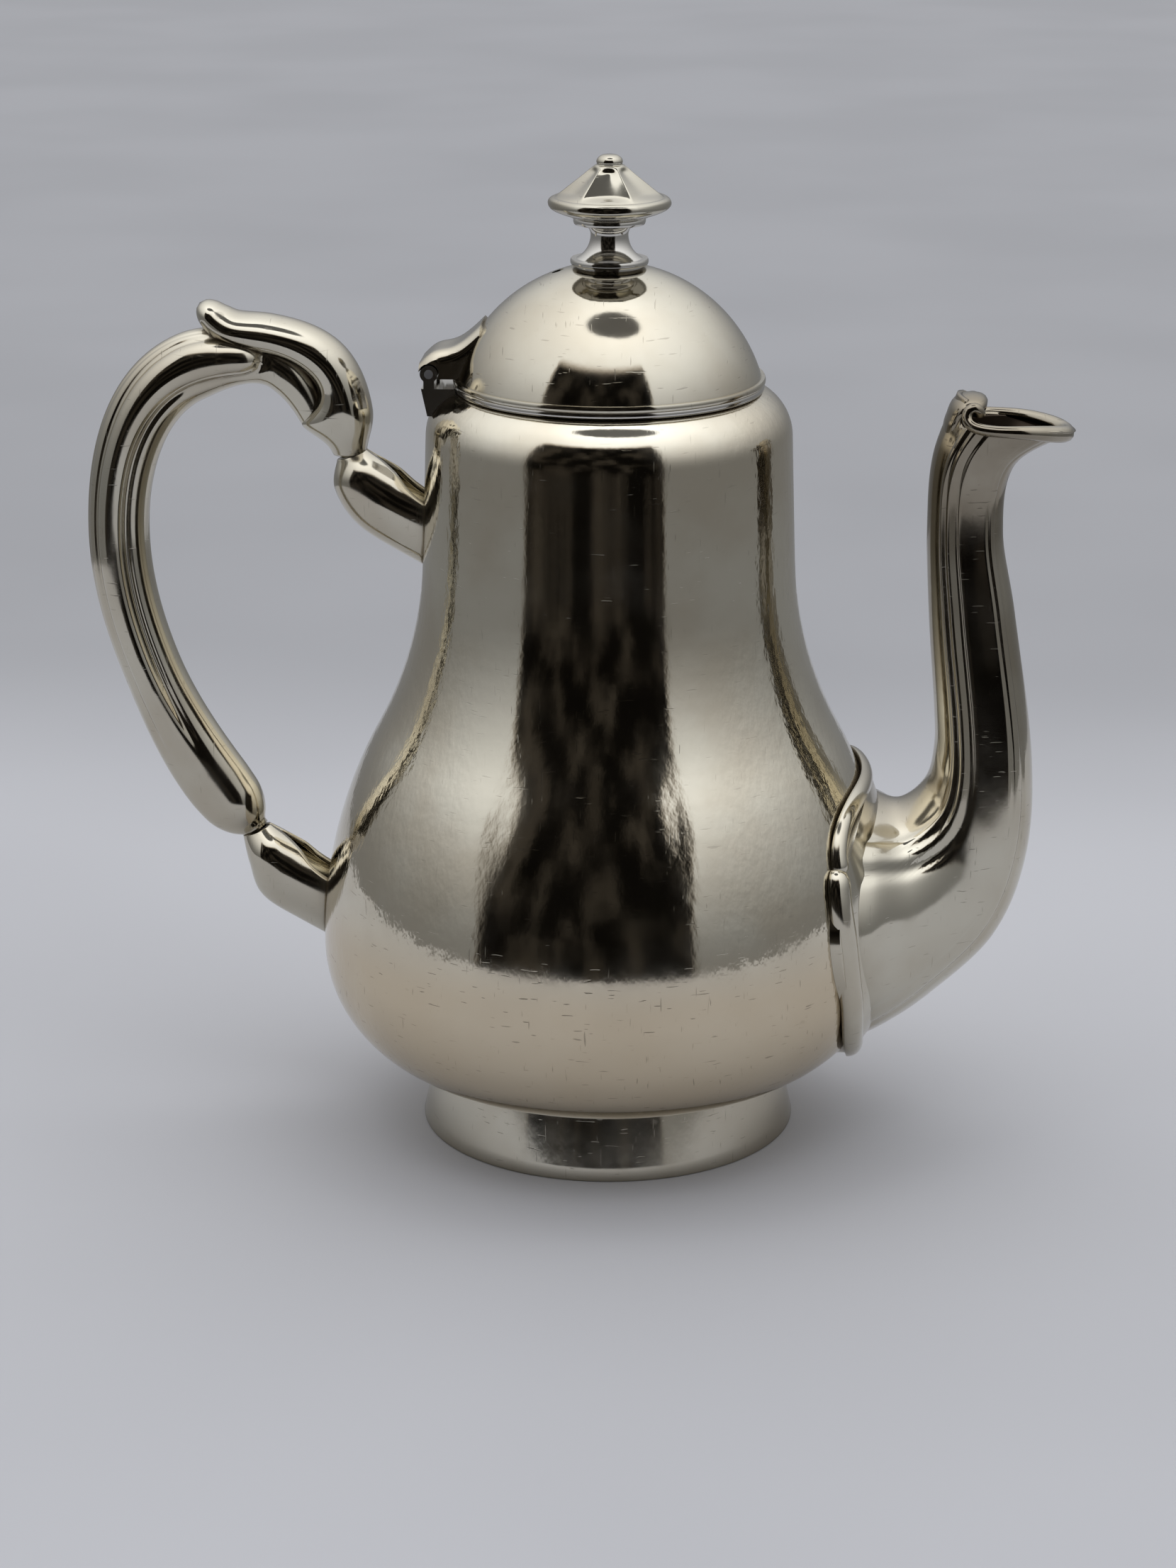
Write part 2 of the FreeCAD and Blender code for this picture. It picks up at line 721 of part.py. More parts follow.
def body_knuckles():
    """The two outer knuckles on their webs, one at each end of the hinge."""
    body = new_body("body_knuckles")
    sketch = new_sketch(body, "XZ_Plane")
    drop = "sqrt(knuckle_radius^2 - web_half^2)"
    outline(sketch, [
        (f"{HINGE_X} - web_half", f"{HINGE_Z} - bracket_drop"),
        (f"{HINGE_X} + web_half", f"{HINGE_Z} - bracket_drop"),
        (f"{HINGE_X} + web_half", f"{HINGE_Z} - {drop}", "knuckle_radius", 1),
        (f"{HINGE_X} + web_half", f"{HINGE_Z} + {drop}", "knuckle_radius", 1),
        (f"{HINGE_X} - web_half", f"{HINGE_Z} + {drop}", "knuckle_radius", 1),
        (f"{HINGE_X} - web_half", f"{HINGE_Z} - {drop}"),
    ])
    circle(sketch, HINGE_X, HINGE_Z, "pin_radius")
    blank = pad(body, sketch, "hinge_width")
    middle = new_sketch(body, "XZ_Plane")
    outline(middle, [
        (f"{HINGE_X} - 2 * knuckle_radius", f"{HINGE_Z} - bracket_drop"),
        (f"{HINGE_X} + 2 * knuckle_radius", f"{HINGE_Z} - bracket_drop"),
        (f"{HINGE_X} + 2 * knuckle_radius", f"{HINGE_Z} + 2 * knuckle_radius"),
        (f"{HINGE_X} - 2 * knuckle_radius", f"{HINGE_Z} + 2 * knuckle_radius"),
    ])
    gap = body.newObject("PartDesign::Pocket", "knuckle_gap")
    gap.Profile = middle
    gap.SideType = "Symmetric"
    gap.setExpression("Length", bound("hinge_width - 2 * knuckle_length"))
    body.AllowCompound = True
    doc.recompute()
    assert gap.Shape.Volume < blank.Shape.Volume
    return body


def hinge_bracket(outside):
    """The saddle on the shoulder that carries the outer knuckles."""
    profile = [
        Vector(value(x), 0, value(z)) for x, z in (
            (f"{HINGE_X} - bracket_back", f"{HINGE_Z} - bracket_drop"),
            (f"{HINGE_X} - bracket_toe_back", f"{HINGE_Z} - bracket_depth"),
            ("-collar_radius", f"{HINGE_Z} - bracket_depth"),
            ("-collar_radius", f"{HINGE_Z} - bracket_drop"),
        )
    ]
    half = Vector(0, value("hinge_width") / 2, 0)
    face = Part.Face(Part.makePolygon([p - half for p in profile] + [profile[0] - half]))
    block = face.extrude(half * 2)
    ring = Part.makeCylinder(value(RING_SIDE) + value("solder_gap"), value(HINGE_Z))
    return free_form("hinge_bracket", single(block.cut(outside.fuse(ring))))


def curve(points):
    """A smooth curve through points."""
    spline = Part.BSplineCurve()
    spline.interpolate(points)
    return spline


def stations(piece, names, count, flip):
    """Places along a curved piece in the XZ plane, evenly spread: centre, outward normal and sizes.

    Each name has a reach, a height, a depth in the plane and maybe a width across it.
    """
    sign = -1 if flip else 1
    keys = [f"{piece}_{name}" for name in names]
    path = curve([Vector(sign * value(k + "_reach"), 0, value(k + "_height")) for k in keys])
    marks = [path.parameter(Vector(sign * value(k + "_reach"), 0, value(k + "_height"))) for k in keys]
    sizes = []
    for suffix in ("_depth", "_width"):
        if keys[0] + suffix in SIZES:
            sizes.append([value(k + suffix) / 2 for k in keys])
    first, last = path.FirstParameter, path.LastParameter
    places = []
    for step in range(count):
        at = first + (last - first) * step / (count - 1)
        tangent = Vector(path.tangent(at)[0])
        normal = Vector(tangent.z, 0, -tangent.x)
        places.append((path.value(at), normal, [blend(marks, row, at) for row in sizes]))
    return places


def blend(marks, row, at):
    """A value between the marks of a row, eased so that it has no corner at a mark."""
    for low, high, left, right in zip(marks, marks[1:], row, row[1:]):
        if at <= high:
            share = max(0.0, (at - low) / (high - low))
            return left + (right - left) * (3 - 2 * share) * share ** 2
    return row[-1]


def half_edge(centre, normal, depth, width, side, keel=0.0, grooves=()):
    """Half of a rounded section, from its inner edge to its outer edge on one side of the mid-plane.

    The keel draws the inner edge to a point. A groove is an angle, a spread and a share of the width.
    """
    points = []
    for step in range(HALF_POINTS):
        angle = math.pi * step / (HALF_POINTS - 1)
        shrink = 1 - keel * (1 + math.cos(angle)) / 2
        shrink -= sum(cut * math.exp(-(((angle - at) / spread) ** 2)) for at, spread, cut in grooves)
        across = side * width * math.sin(angle) * shrink
        points.append(centre - normal * depth * math.cos(angle) + Vector(0, across, 0))
    spline = Part.BSplineCurve()
    spline.interpolate(Points=points)
    return spline.toShape()


def half_tube(sections):
    """A half tube: a loft through half rings, each given as an outer and an inner edge."""
    wires = []
    for outer, inner in sections:
        foot = Part.makeLine(outer.Vertexes[-1].Point, inner.Vertexes[-1].Point)
        head = Part.makeLine(inner.Vertexes[0].Point, outer.Vertexes[0].Point)
        wires.append(Part.Wire([outer, foot, inner.reversed(), head]))
    return Part.makeLoft(wires, True, False)


def handle_half(side, places):
    """One stamped half of the hollow grip, with two reeds along its side that fade at the ends."""
    wall = value("grip_wall")
    half_width = value("grip_width") / 2
    full = value("grip_back_depth") / 2
    sections = []
    for number, (centre, normal, (depth,)) in enumerate(places):
        share = min(1.0, depth / full)
        fade = math.sin(math.pi * number / (len(places) - 1))
        cut = value("reed_depth") / half_width * fade
        grooves = [(math.pi * 0.38, 0.13, cut), (math.pi * 0.6, 0.13, cut)]
        width = half_width * share
        outer = half_edge(centre, normal, depth, width, side, 0.0, grooves)
        inner = half_edge(centre, normal, depth - wall, width - wall - value("reed_depth"), side)
        sections.append((outer, inner))
    return half_tube(sections)


def loft(sections):
    """A solid with a mid-plane: each half is lofted through half sections, and the halves are joined."""
    halves = []
    for side in (-1, 1):
        wires = []
        for section in sections:
            edge = half_edge(*section[:4], side, *section[4:])
            chord = Part.makeLine(edge.Vertexes[-1].Point, edge.Vertexes[0].Point)
            wires.append(Part.Wire([edge, chord]))
        halves.append(Part.makeLoft(wires, True, False))
    return single(halves[0].fuse(halves[1]).removeSplitter())


def thumb_leaf():
    """The leaf over the top of the handle, from its neck on the upper socket to the curled tip."""
    places = stations("leaf", LEAF_NAMES, LEAF_STATIONS, True)
    neck = value("leaf_neck_depth") / 2
    wide = value("leaf_width") / 2
    sections = []
    for number, (centre, normal, (depth,)) in enumerate(places):
        share = math.sin(math.pi / 2 * min(1.0, 2.5 * number / (len(places) - 1)))
        sections.append((centre, normal, depth, neck + (wide - neck) * share))
    return loft(sections)


def socket(place, neck, across, outside):
    """An open bud between the handle and the body: round at its neck, keeled where it meets the body."""
    radius = value("socket_neck_radius")
    width = value("socket_width") / 2
    wall = value("socket_wall")

    def at(front, drop):
        return neck + Vector(value(front), 0, -value(drop))

    sink = Vector(value("socket_sink"), 0, -value("socket_sink") / 2)
    toe = at("socket_toe_front", "socket_toe_drop")
    seat = at("socket_toe_front", "socket_seat_drop")
    edges = [
        (neck - across * radius, neck + across * radius, radius, 0.0),
        (at(f"-{place}_heel_back", "socket_heel_drop"), at("socket_brow_front", "socket_brow_drop"),
         (radius + width) / 2, 0.1),
        (at("socket_sole_front", "socket_sole_drop"), at("socket_cheek_front", "socket_cheek_drop"),
         width - wall, 0.3),
        (toe, seat, width, 0.6),
        (toe + sink, seat + sink, width, 0.6),
    ]
    body = loft([section(low, high, half, keel) for low, high, half, keel in edges])
    brow = edges[1][1] + (edges[2][1] - edges[1][1]) / 2
    first = (edges[2][1] - edges[2][0]) / 8
    inside = [section(brow - first, brow + first, wall / 2, 0.0)]
    for low, high, half, keel in edges[2:]:
        tall = high - low
        inside.append(section(low + tall / 4, high + tall / 4, half - wall, keel))
    return free_form(f"{place}_socket", single(body.cut(outside).cut(loft(inside))))


def section(low, high, half, keel):
    """A rounded section from its lower edge to its upper edge in the mid-plane."""
    span = high - low
    return (low + high) / 2, Vector(span).normalize(), span.Length / 2, half, keel


def spout_sections(grow):
    """Sections of the spout from its root to its mouth, grown by a distance."""
    sections = []
    for name in SPOUT_NAMES:
        edge = {
            end: Vector(value(f"spout_{name}_{end}_reach"), 0, value(f"spout_{name}_{end}_height"))
            for end in ("in", "out")
        }
        span = edge["out"] - edge["in"]
        half = value(f"spout_{name}_width") / 2
        middle = (edge["in"] + edge["out"]) / 2
        pear = -value("base_pear") / (1 - value("base_pear")) if name in SPOUT_BASE else 0.0
        sections.append((middle, Vector(span).normalize(), span.Length / 2 + grow, half + grow, pear))
    return sections


def spout_half(side, outside):
    """One half of the hollow spout, cut where it meets the body."""
    wall = value("spout_wall")
    outer = [half_edge(*place[:4], side, *place[4:]) for place in spout_sections(0)]
    inner = [half_edge(*place[:4], side, *place[4:]) for place in spout_sections(-wall)]
    return single(half_tube(list(zip(outer, inner))).cut(outside))


def grown_belly(grow):
    """The outside of the bowl, the belly and the waist, grown by a distance."""
    low = value("bottom_height")
    middle = value("belly_height")
    corner = Vector(value("belly_radius") - middle + low, 0, middle)
    belly_centre = Vector(value("belly_radius") - value("belly_curve"), 0, middle)
    turn = Vector(value(TURN_X), 0, value(TURN_Z))
    out = (turn - belly_centre).normalize()
    waist = value(WAIST_CURVE) - grow
    waist_centre = turn + out * value(WAIST_CURVE)
    neck = Vector(value("neck_radius"), 0, value("neck_height"))
    toward = (neck - waist_centre).normalize()
    halfway = ((turn - waist_centre).normalize() + toward).normalize()
    radius = value("belly_curve") + grow
    tilt = math.atan2(out.z, out.x) / 2
    points = [
        Vector(0, 0, low - grow),
        corner - Vector(0, 0, middle - low + grow),
        corner + Vector(1, 0, -1).normalize() * (middle - low + grow),
        corner + Vector(middle - low + grow, 0, 0),
        belly_centre + Vector(math.cos(tilt), 0, math.sin(tilt)) * radius,
        belly_centre + out * radius,
        waist_centre + halfway * waist,
        waist_centre + toward * waist,
    ]
    top = Vector(0, 0, points[-1].z)
    wire = Part.Wire([
        Part.makeLine(points[0], points[1]),
        Part.Arc(*points[1:4]).toShape(),
        Part.Arc(*points[3:6]).toShape(),
        Part.Arc(*points[5:8]).toShape(),
        Part.makeLine(points[-1], top),
        Part.makeLine(top, points[0]),
    ])
    return Part.Face(wire).revolve(Vector(0, 0, 0), Vector(0, 0, 1), 360)


def spout_flange(outside):
    """The collar around the spout's root: an oval band that lies on the body."""
    low = value("flange_bottom")
    high = value("flange_top")
    half = value("flange_width") / 2
    pear = value("base_pear")
    root = value("spout_root_in_reach") - value("flange_height")
    ends = (root, value("belly_radius") + value("belly_height"))
    oval = loft([section(Vector(end, 0, low), Vector(end, 0, high), half, pear) for end in ends])
    band = grown_belly(value("flange_height")).cut(outside).common(oval)
    band = band.cut(loft(spout_sections(value("solder_gap"))))
    return free_form("spout_flange", single(band))


bowl, bowl_outside = body_bowl()
neck, neck_outside = body_neck()
outside = bowl_outside.fuse(neck_outside).removeSplitter()
pieces = [
    bowl,
    body_bottom(),
    neck,
    mouth_ring(),
    foot_ring(),
    lid_dome(),
    lid_rim(),
    lid_bezel(),
    finial_spool(),
    finial_cap(),
    finial_stud(),
    finial_washer(),
    finial_nut(),
    hinge_hood(),
    lid_knuckle(),
    hinge_pin(),
    body_knuckles(),
    hinge_bracket(outside),
]

leaf = thumb_leaf()
pieces.append(free_form("thumb_leaf", leaf))
grip = stations("grip", GRIP_NAMES, GRIP_STATIONS, True)
for label, side in (("handle_near_half", -1), ("handle_far_half", 1)):
    pieces.append(free_form(label, single(handle_half(side, grip).cut(leaf))))

leaf_places = stations("leaf", LEAF_NAMES, LEAF_STATIONS, True)
pieces.append(socket("upper", leaf_places[0][0], leaf_places[0][1], outside))
pieces.append(socket("lower", grip[-1][0], -grip[-1][1], outside))
for label, side in (("spout_near_half", -1), ("spout_far_half", 1)):
    pieces.append(free_form(label, spout_half(side, outside)))
pieces.append(spout_flange(outside))

doc.recompute()
for item in doc.Objects:
    if {"Invalid", "Error"} & set(item.State):
        raise RuntimeError(f"{item.Label} failed: {item.State}")
for piece in pieces:
    if piece.Shape.isNull() or not piece.Shape.isValid() or piece.Shape.Volume <= 0:
        raise RuntimeError(f"{piece.Label} has no valid shape")

os.makedirs("parts", exist_ok=True)
for piece in pieces:
    piece.Shape.exportStep(f"parts/{piece.Label}.step")
    box = piece.Shape.BoundBox
    print(f"{piece.Label}: {len(piece.Shape.Solids)} solid, {piece.Shape.Volume:.1f} mm3,"
          f" x {box.XMin:.1f} to {box.XMax:.1f}, y {box.YMin:.1f} to {box.YMax:.1f},"
          f" z {box.ZMin:.1f} to {box.ZMax:.1f}")
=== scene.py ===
import json
import math

import bpy
import numpy as np
from bpy.props import FloatProperty, FloatVectorProperty, IntProperty, PointerProperty
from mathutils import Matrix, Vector
from mathutils.bvhtree import BVHTree


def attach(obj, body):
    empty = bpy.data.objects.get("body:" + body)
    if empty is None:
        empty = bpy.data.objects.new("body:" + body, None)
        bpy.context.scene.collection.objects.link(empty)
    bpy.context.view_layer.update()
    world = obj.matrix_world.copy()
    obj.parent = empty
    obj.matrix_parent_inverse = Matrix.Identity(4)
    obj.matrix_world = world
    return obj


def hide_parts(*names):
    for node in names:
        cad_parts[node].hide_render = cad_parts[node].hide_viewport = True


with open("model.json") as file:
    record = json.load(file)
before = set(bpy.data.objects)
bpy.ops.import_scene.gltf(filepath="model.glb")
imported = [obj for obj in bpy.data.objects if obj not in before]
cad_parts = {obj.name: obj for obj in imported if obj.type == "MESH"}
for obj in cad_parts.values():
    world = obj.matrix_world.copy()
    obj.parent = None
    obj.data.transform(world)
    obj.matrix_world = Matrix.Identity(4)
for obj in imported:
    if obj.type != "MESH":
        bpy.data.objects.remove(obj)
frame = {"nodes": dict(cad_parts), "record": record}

bl_info = {
    "name": "Coffee pot looks",
    "version": (1, 0, 0),
    "blender": (4, 5, 0),
    "location": "3D View > Sidebar > Coffee pot",
    "description": "Dresses a coffee pot's solids in silver: dented body, ribbed grip, ridged spout",
    "category": "Object",
}

MM = 0.001
MERGE = 1e-6
# How deep a piece reaches into the body that it is soldered to
SINK = 0.3 * MM
DEGREE = math.pi / 180
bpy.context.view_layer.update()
POT = "pot"
LID = "lid"
BODY_NODES = ("body_bowl", "body_neck", "body_bottom")

# Spout stations in millimetres: back reach and height, front reach and height, width
SPOUT_STATIONS = (
    (49.5, 73.8, 50.0, 19.2, 60.0),
    (55.3, 71.6, 57.3, 22.0, 54.0),
    (60.8, 70.8, 68.2, 29.0, 39.5),
    (66.1, 75.9, 81.5, 42.3, 29.0),
    (67.7, 83.5, 87.8, 60.1, 25.0),
    (67.4, 92.4, 88.2, 81.9, 21.6),
    (65.8, 111.3, 83.7, 112.1, 16.8),
    (64.9, 130.1, 80.7, 129.4, 14.8),
    (65.7, 145.0, 82.7, 143.3, 16.4),
    (70.2, 157.8, 94.3, 150.3, 19.0),
)
SPOUT_PEAR = (0.176, 0.176, 0.12, 0.05, 0.0, 0.0, 0.0, 0.0, 0.0, 0.0)
# Ridges and creases of the spout: share of the way round on the stem and at its base, height, half width
RIDGES = (
    (0.295, 0.200, 1.3, 0.024),
    (0.350, 0.238, 1.1, 0.020),
    (0.405, 0.275, -1.0, 0.020),
    (0.690, 0.680, -0.6, 0.012),
    (0.775, 0.760, -0.9, 0.015),
)

# Grip and leaf stations in millimetres: reach behind the axis, height, depth
GRIP_STATIONS = (
    (58.9, 147.6, 6.0),
    (66.6, 160.2, 8.6),
    (85.5, 160.8, 14.2),
    (101.6, 127.2, 12.6),
    (96.2, 98.3, 12.4),
    (83.0, 72.3, 14.6),
    (74.6, 61.6, 12.6),
)
LEAF_STATIONS = (
    (52.8, 143.1, 6.2),
    (53.2, 151.7, 9.8),
    (57.0, 161.4, 9.8),
    (69.6, 167.6, 8.6),
    (78.4, 169.6, 7.4),
    (83.2, 174.0, 5.2),
)
# Neck centre of each socket, and how far its heel lies behind it
SOCKETS = {"upper_socket": (-52.8, 143.1, 3.6), "lower_socket": (-74.6, 61.6, 1.8)}
# Border of the spout's flange on the near side: across and height in millimetres
UPPER_BORDER = (
    (0.0, 76.0), (-10.0, 75.9), (-19.5, 74.6), (-25.5, 71.6), (-28.6, 67.6), (-29.6, 64.2),
)
LOWER_BORDER = (
    (-29.6, 66.4), (-31.6, 61.0), (-32.5, 52.0), (-32.3, 44.0), (-30.8, 36.6), (-27.6, 30.6),
    (-20.6, 25.2), (-11.0, 21.6), (0.0, 20.6),
)
# Bead round the spout's mouth on the near side, from the scroll to the lip
MOUTH_BEAD = (
    (74.7, -5.4, 154.3), (74.5, -5.8, 155.5), (73.2, -6.0, 156.0), (72.0, -6.3, 154.8),
    (72.1, -6.9, 153.2), (73.6, -8.0, 152.1), (76.4, -9.0, 151.8), (79.6, -9.3, 151.7),
    (84.6, -8.2, 151.4), (89.2, -5.6, 150.6), (92.0, -2.6, 150.0), (92.3, 0.0, 149.8),
)
# Scroll over the mouth: reach, height, half depth and half width
SCROLL = (
    (68.4, 147.5, 1.4, 3.4), (69.9, 152.4, 2.0, 5.4), (71.6, 154.9, 2.5, 6.0),
    (73.9, 155.3, 2.4, 5.6), (76.2, 154.6, 2.2, 4.8),
)
# Section of the foot: reach and height
FOOT = (
    (36.9, 0.0), (39.2, 0.0), (39.45, 0.15), (39.45, 0.5), (38.9, 3.0), (38.35, 5.5), (37.8, 8.0),
    (37.25, 10.5), (36.7, 13.0), (36.45, 14.1), (35.4, 14.05), (31.0, 13.98), (31.0, 12.6),
    (34.9, 12.5), (35.9, 7.0), (36.6, 2.0), (36.9, 0.0),
)
# Outline of the finial's cap along a ridge: reach and height above its foot
CAP_FOOT = 192.3
CAP = (
    (0.0, 0.0), (6.9, 0.0), (8.2, 0.35), (10.0, 0.95), (11.5, 1.6), (12.2, 2.2), (12.38, 2.9),
    (12.1, 3.6), (11.4, 4.0), (10.9, 4.05), (10.3, 4.5), (9.4, 5.2), (8.0, 6.3), (6.6, 7.4),
    (5.2, 8.5), (4.0, 9.5), (3.1, 10.2), (2.55, 10.5), (2.65, 11.1), (2.3, 11.8), (1.4, 12.35),
    (0.0, 12.49),
)
# Axis of the hinge and room round it, radius and centre height of the dome
HINGE_X, HINGE_Z = -35.9, 161.4
HINGE_ROOM = 2.1
DOME_RADIUS = 32.0
DOME_CENTRE = 150.83
# Top of the hood over the hinge, from its tip to its crest, its half width, and the height of its foot
HOOD_TOP = (
    (-38.0, 163.3), (-36.8, 164.5), (-35.2, 165.6), (-32.0, 166.4), (-28.6, 168.4), (-25.6, 171.2),
)
HOOD_HALF = 7.5
HOOD_FOOT = 160.4
# Dents: turn from the near side in degrees, height, half width, half height, share of the depth
DENTS = (
    (-21.5, 80.0, 5.5, 12.5, 1.0),
    (19.0, 81.0, 4.8, 13.0, 0.85),
    (-33.0, 60.0, 3.0, 3.0, 0.18),
)
# How each plating departs from the plain one
FINISHES = {
    "silver_plate": {},
    "body_silver": {"peel": 3.0, "wear": 0.35, "stain": 0.7},
    "foot_silver": {"peel": 0.3, "wear": 0.6, "tone": 0.78},
    "spout_silver": {"peel": 0.4, "wear": 0.6, "rough": 1.3, "tarnish_and_shade_reach": 5.0, "patina": 0.7, "tone": 0.85},
    "grip_silver": {"peel": 0.3, "wear": 0.5, "rough": 1.2, "tarnish_and_shade_reach": 5.0, "tone": 0.8},
    "finial_silver": {"peel": 0.3, "wear": 0.4, "rough": 1.2, "tarnish_and_shade_reach": 4.0, "tone": 0.72},
    "lid_silver": {"peel": 0.4, "wear": 0.6, "tone": 0.84},
}
# Camera: height of its sensor in millimetres, focal length and height of the picture in pixels
SENSOR_HEIGHT = 24.0
FOCAL_PIXELS = 5150
PICTURE_PIXELS = 2212
# Heights between which the belly's warmer, more worn lower part ends and the spout's patina starts, and where
# the ripples start
LOW_WARMTH_LEVELS = (50 * MM, 64 * MM)
PATINA_LEVELS = (52 * MM, 140 * MM)
RIPPLE_SIDES = (21 * MM, 30 * MM)


def deselect():
    """Leaves nothing selected, in object mode."""
    if bpy.context.object and bpy.context.object.mode != "OBJECT":
        bpy.ops.object.mode_set(mode="OBJECT")
    bpy.ops.object.select_all(action="DESELECT")


def smoothstep(low, high, at):
    """Eases from 0 to 1 between two marks."""
    share = min(1.0, max(0.0, (at - low) / (high - low)))
    return share * share * (3 - 2 * share)


def bump(at, centre, spread):
    """A round bump of height 1."""
    return math.exp(-(((at - centre) / spread) ** 2))


def spline(rows, at):
    """A smooth value through rows of numbers at a place counted in rows."""
    last = len(rows) - 1
    low = min(last - 1, max(0, int(at)))
    share = at - low
    picks = [rows[min(last, max(0, low + step))] for step in (-1, 0, 1, 2)]
    values = []
    for before, here, there, after in zip(*picks):
        rise = (there - before) / 2
        fall = (after - here) / 2
        gap = there - here
        values.append(
            here + share * (rise + share * (3 * gap - 2 * rise - fall + share * (rise + fall - 2 * gap)))
        )
    return values


def through(points):
    """A smooth curve through points, as a function from 0 to 1, and the marks of its points."""
    table = np.array(points, float)
    marks = np.concatenate([[0.0], np.cumsum(np.linalg.norm(np.diff(table[:, :2], axis=0), axis=1))])
    marks /= marks[-1]
    steps = np.diff(marks)
    count = len(marks)
    matrix = np.eye(count)
    right = np.zeros_like(table)
    for row in range(1, count - 1):
        matrix[row, row - 1:row + 2] = steps[row - 1], 2 * (steps[row - 1] + steps[row]), steps[row]
        right[row] = 6 * (
            (table[row + 1] - table[row]) / steps[row] - (table[row] - table[row - 1]) / steps[row - 1]
        )
    bend = np.linalg.solve(matrix, right)

    def at(share):
        row = int(np.clip(np.searchsorted(marks, share) - 1, 0, count - 2))
        wide = steps[row]
        left, far = (marks[row + 1] - share) / wide, (share - marks[row]) / wide
        return (left * table[row] + far * table[row + 1]
                + ((left ** 3 - left) * bend[row] + (far ** 3 - far) * bend[row + 1]) * wide ** 2 / 6)

    return at, marks


def eased(marks, values, share):
    """A value between the marks of a row, eased at each mark."""
    for low, high, left, right in zip(marks, marks[1:], values, values[1:]):
        if share <= high:
            return left + (right - left) * smoothstep(low, high, share)
    return values[-1]


def flow(at, share):
    """Place and outward normal of an upright curve, given by its reach behind the axis and its height."""
    near, far = at(max(0.0, share - 1e-4)), at(min(1.0, share + 1e-4))
    here = at(share)
    along = Vector((-(far[0] - near[0]), 0, far[1] - near[1])).normalized()
    return Vector((-here[0], 0, here[1])), Vector((along.z, 0, -along.x))


def wall_tree():
    """The body's solids, to find the wall by."""
    places = []
    faces = []
    for name in BODY_NODES:
        data = frame["nodes"][name].data
        first = len(places)
        places += [v.co.copy() for v in data.vertices]
        faces += [[first + number for number in face.vertices] for face in data.polygons]
    return BVHTree.FromPolygons(places, faces)


def wall_reach(tree, place):
    """How far the body's outside is from its axis, at the height and on the side of a place."""
    out = Vector((place.x, place.y, 0)).normalized()
    hit = tree.ray_cast(Vector((0, 0, place.z)) + out * 0.2, -out)[0]
    return Vector((hit.x, hit.y, 0)).length if hit else 0.0


def meets(tree, line, low, high, sink):
    """Where a line of points, as a function, goes through the body's outside."""
    for _ in range(24):
        middle = (low + high) / 2
        place = line(middle)
        inner = Vector((place.x, place.y, 0)).length < wall_reach(tree, place) - sink
        low, high = (middle, high) if inner else (low, middle)
    return (low + high) / 2


def skin(name, rows):
    """A tube through rings of points: a grid whose seam is merged, with its faces turned outwards."""
    deselect()
    columns = len(rows[0])
    bpy.ops.mesh.primitive_grid_add(x_subdivisions=columns, y_subdivisions=len(rows) - 1, size=MM)
    piece = bpy.context.object
    piece.name = name
    piece.data.name = name
    places = [place for row in rows for place in (*row, row[0])]
    for vertex, place in zip(piece.data.vertices, places):
        vertex.co = place
    bpy.ops.object.mode_set(mode="EDIT")
    bpy.ops.mesh.select_all(action="SELECT")
    bpy.ops.mesh.remove_doubles(threshold=MERGE)
    bpy.ops.mesh.fill_holes(sides=0)
    bpy.ops.mesh.normals_make_consistent(inside=False)
    bpy.ops.object.mode_set(mode="OBJECT")
    bpy.ops.object.shade_smooth()
    return piece


def dress(piece, body, slot, material, *nodes):
    """Puts a finished piece on its body, with its finish and the solids it stands for."""
    piece.data.materials.clear()
    piece.data.materials.append(material)
    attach(piece, body)
    if nodes:
        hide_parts(*nodes)


# Materials


def add(tree, kind, **values):
    """A new node with some of its settings."""
    made = tree.nodes.new(kind)
    for key, value in values.items():
        setattr(made, key, value)
    return made


def feed(tree, socket, value):
    """Links a socket to another, or sets it to a number or colour."""
    if isinstance(value, bpy.types.NodeSocket):
        tree.links.new(value, socket)
    else:
        socket.default_value = value


def maths(tree, operation, first, second=0.0, clamp=False):
    """One sum of two values."""
    made = add(tree, "ShaderNodeMath", operation=operation, use_clamp=clamp)
    feed(tree, made.inputs[0], first)
    feed(tree, made.inputs[1], second)
    return made.outputs[0]


def ramp(tree, value, low, high, start=0.0, end=1.0):
    """Maps a value smoothly from one range to another."""
    made = add(tree, "ShaderNodeMapRange", interpolation_type="SMOOTHSTEP")
    numbers = {"Value": value, "From Min": low, "From Max": high, "To Min": start, "To Max": end}
    for name, number in numbers.items():
        feed(tree, made.inputs[name], number)
    return made.outputs[0]


def axis(tree, place, name):
    """One coordinate of a place."""
    split = add(tree, "ShaderNodeSeparateXYZ")
    feed(tree, split.inputs[0], place)
    return split.outputs[name]


def shaded(colour, *shares):
    """A colour with each of its parts multiplied, and opaque."""
    return (*(part * share for part, share in zip(colour, shares)), 1)


def mixed(tree, share, first, second):
    """Mixes two colours."""
    made = add(tree, "ShaderNodeMix", data_type="RGBA")
    feed(tree, made.inputs["Factor"], share)
    feed(tree, made.inputs["A"], first)
    feed(tree, made.inputs["B"], second)
    return made.outputs["Result"]


def noise(tree, place, scale, stretch=(1, 1, 1), detail=3.0, turn=(0, 0, 0)):
    """A soft random pattern, maybe stretched."""
    mapping = add(tree, "ShaderNodeMapping")
    feed(tree, mapping.inputs["Vector"], place)
    mapping.inputs["Scale"].default_value = stretch
    mapping.inputs["Rotation"].default_value = turn
    made = add(tree, "ShaderNodeTexNoise")
    feed(tree, made.inputs["Vector"], mapping.outputs[0])
    made.inputs["Scale"].default_value = scale
    made.inputs["Detail"].default_value = detail
    return made.outputs["Fac"]


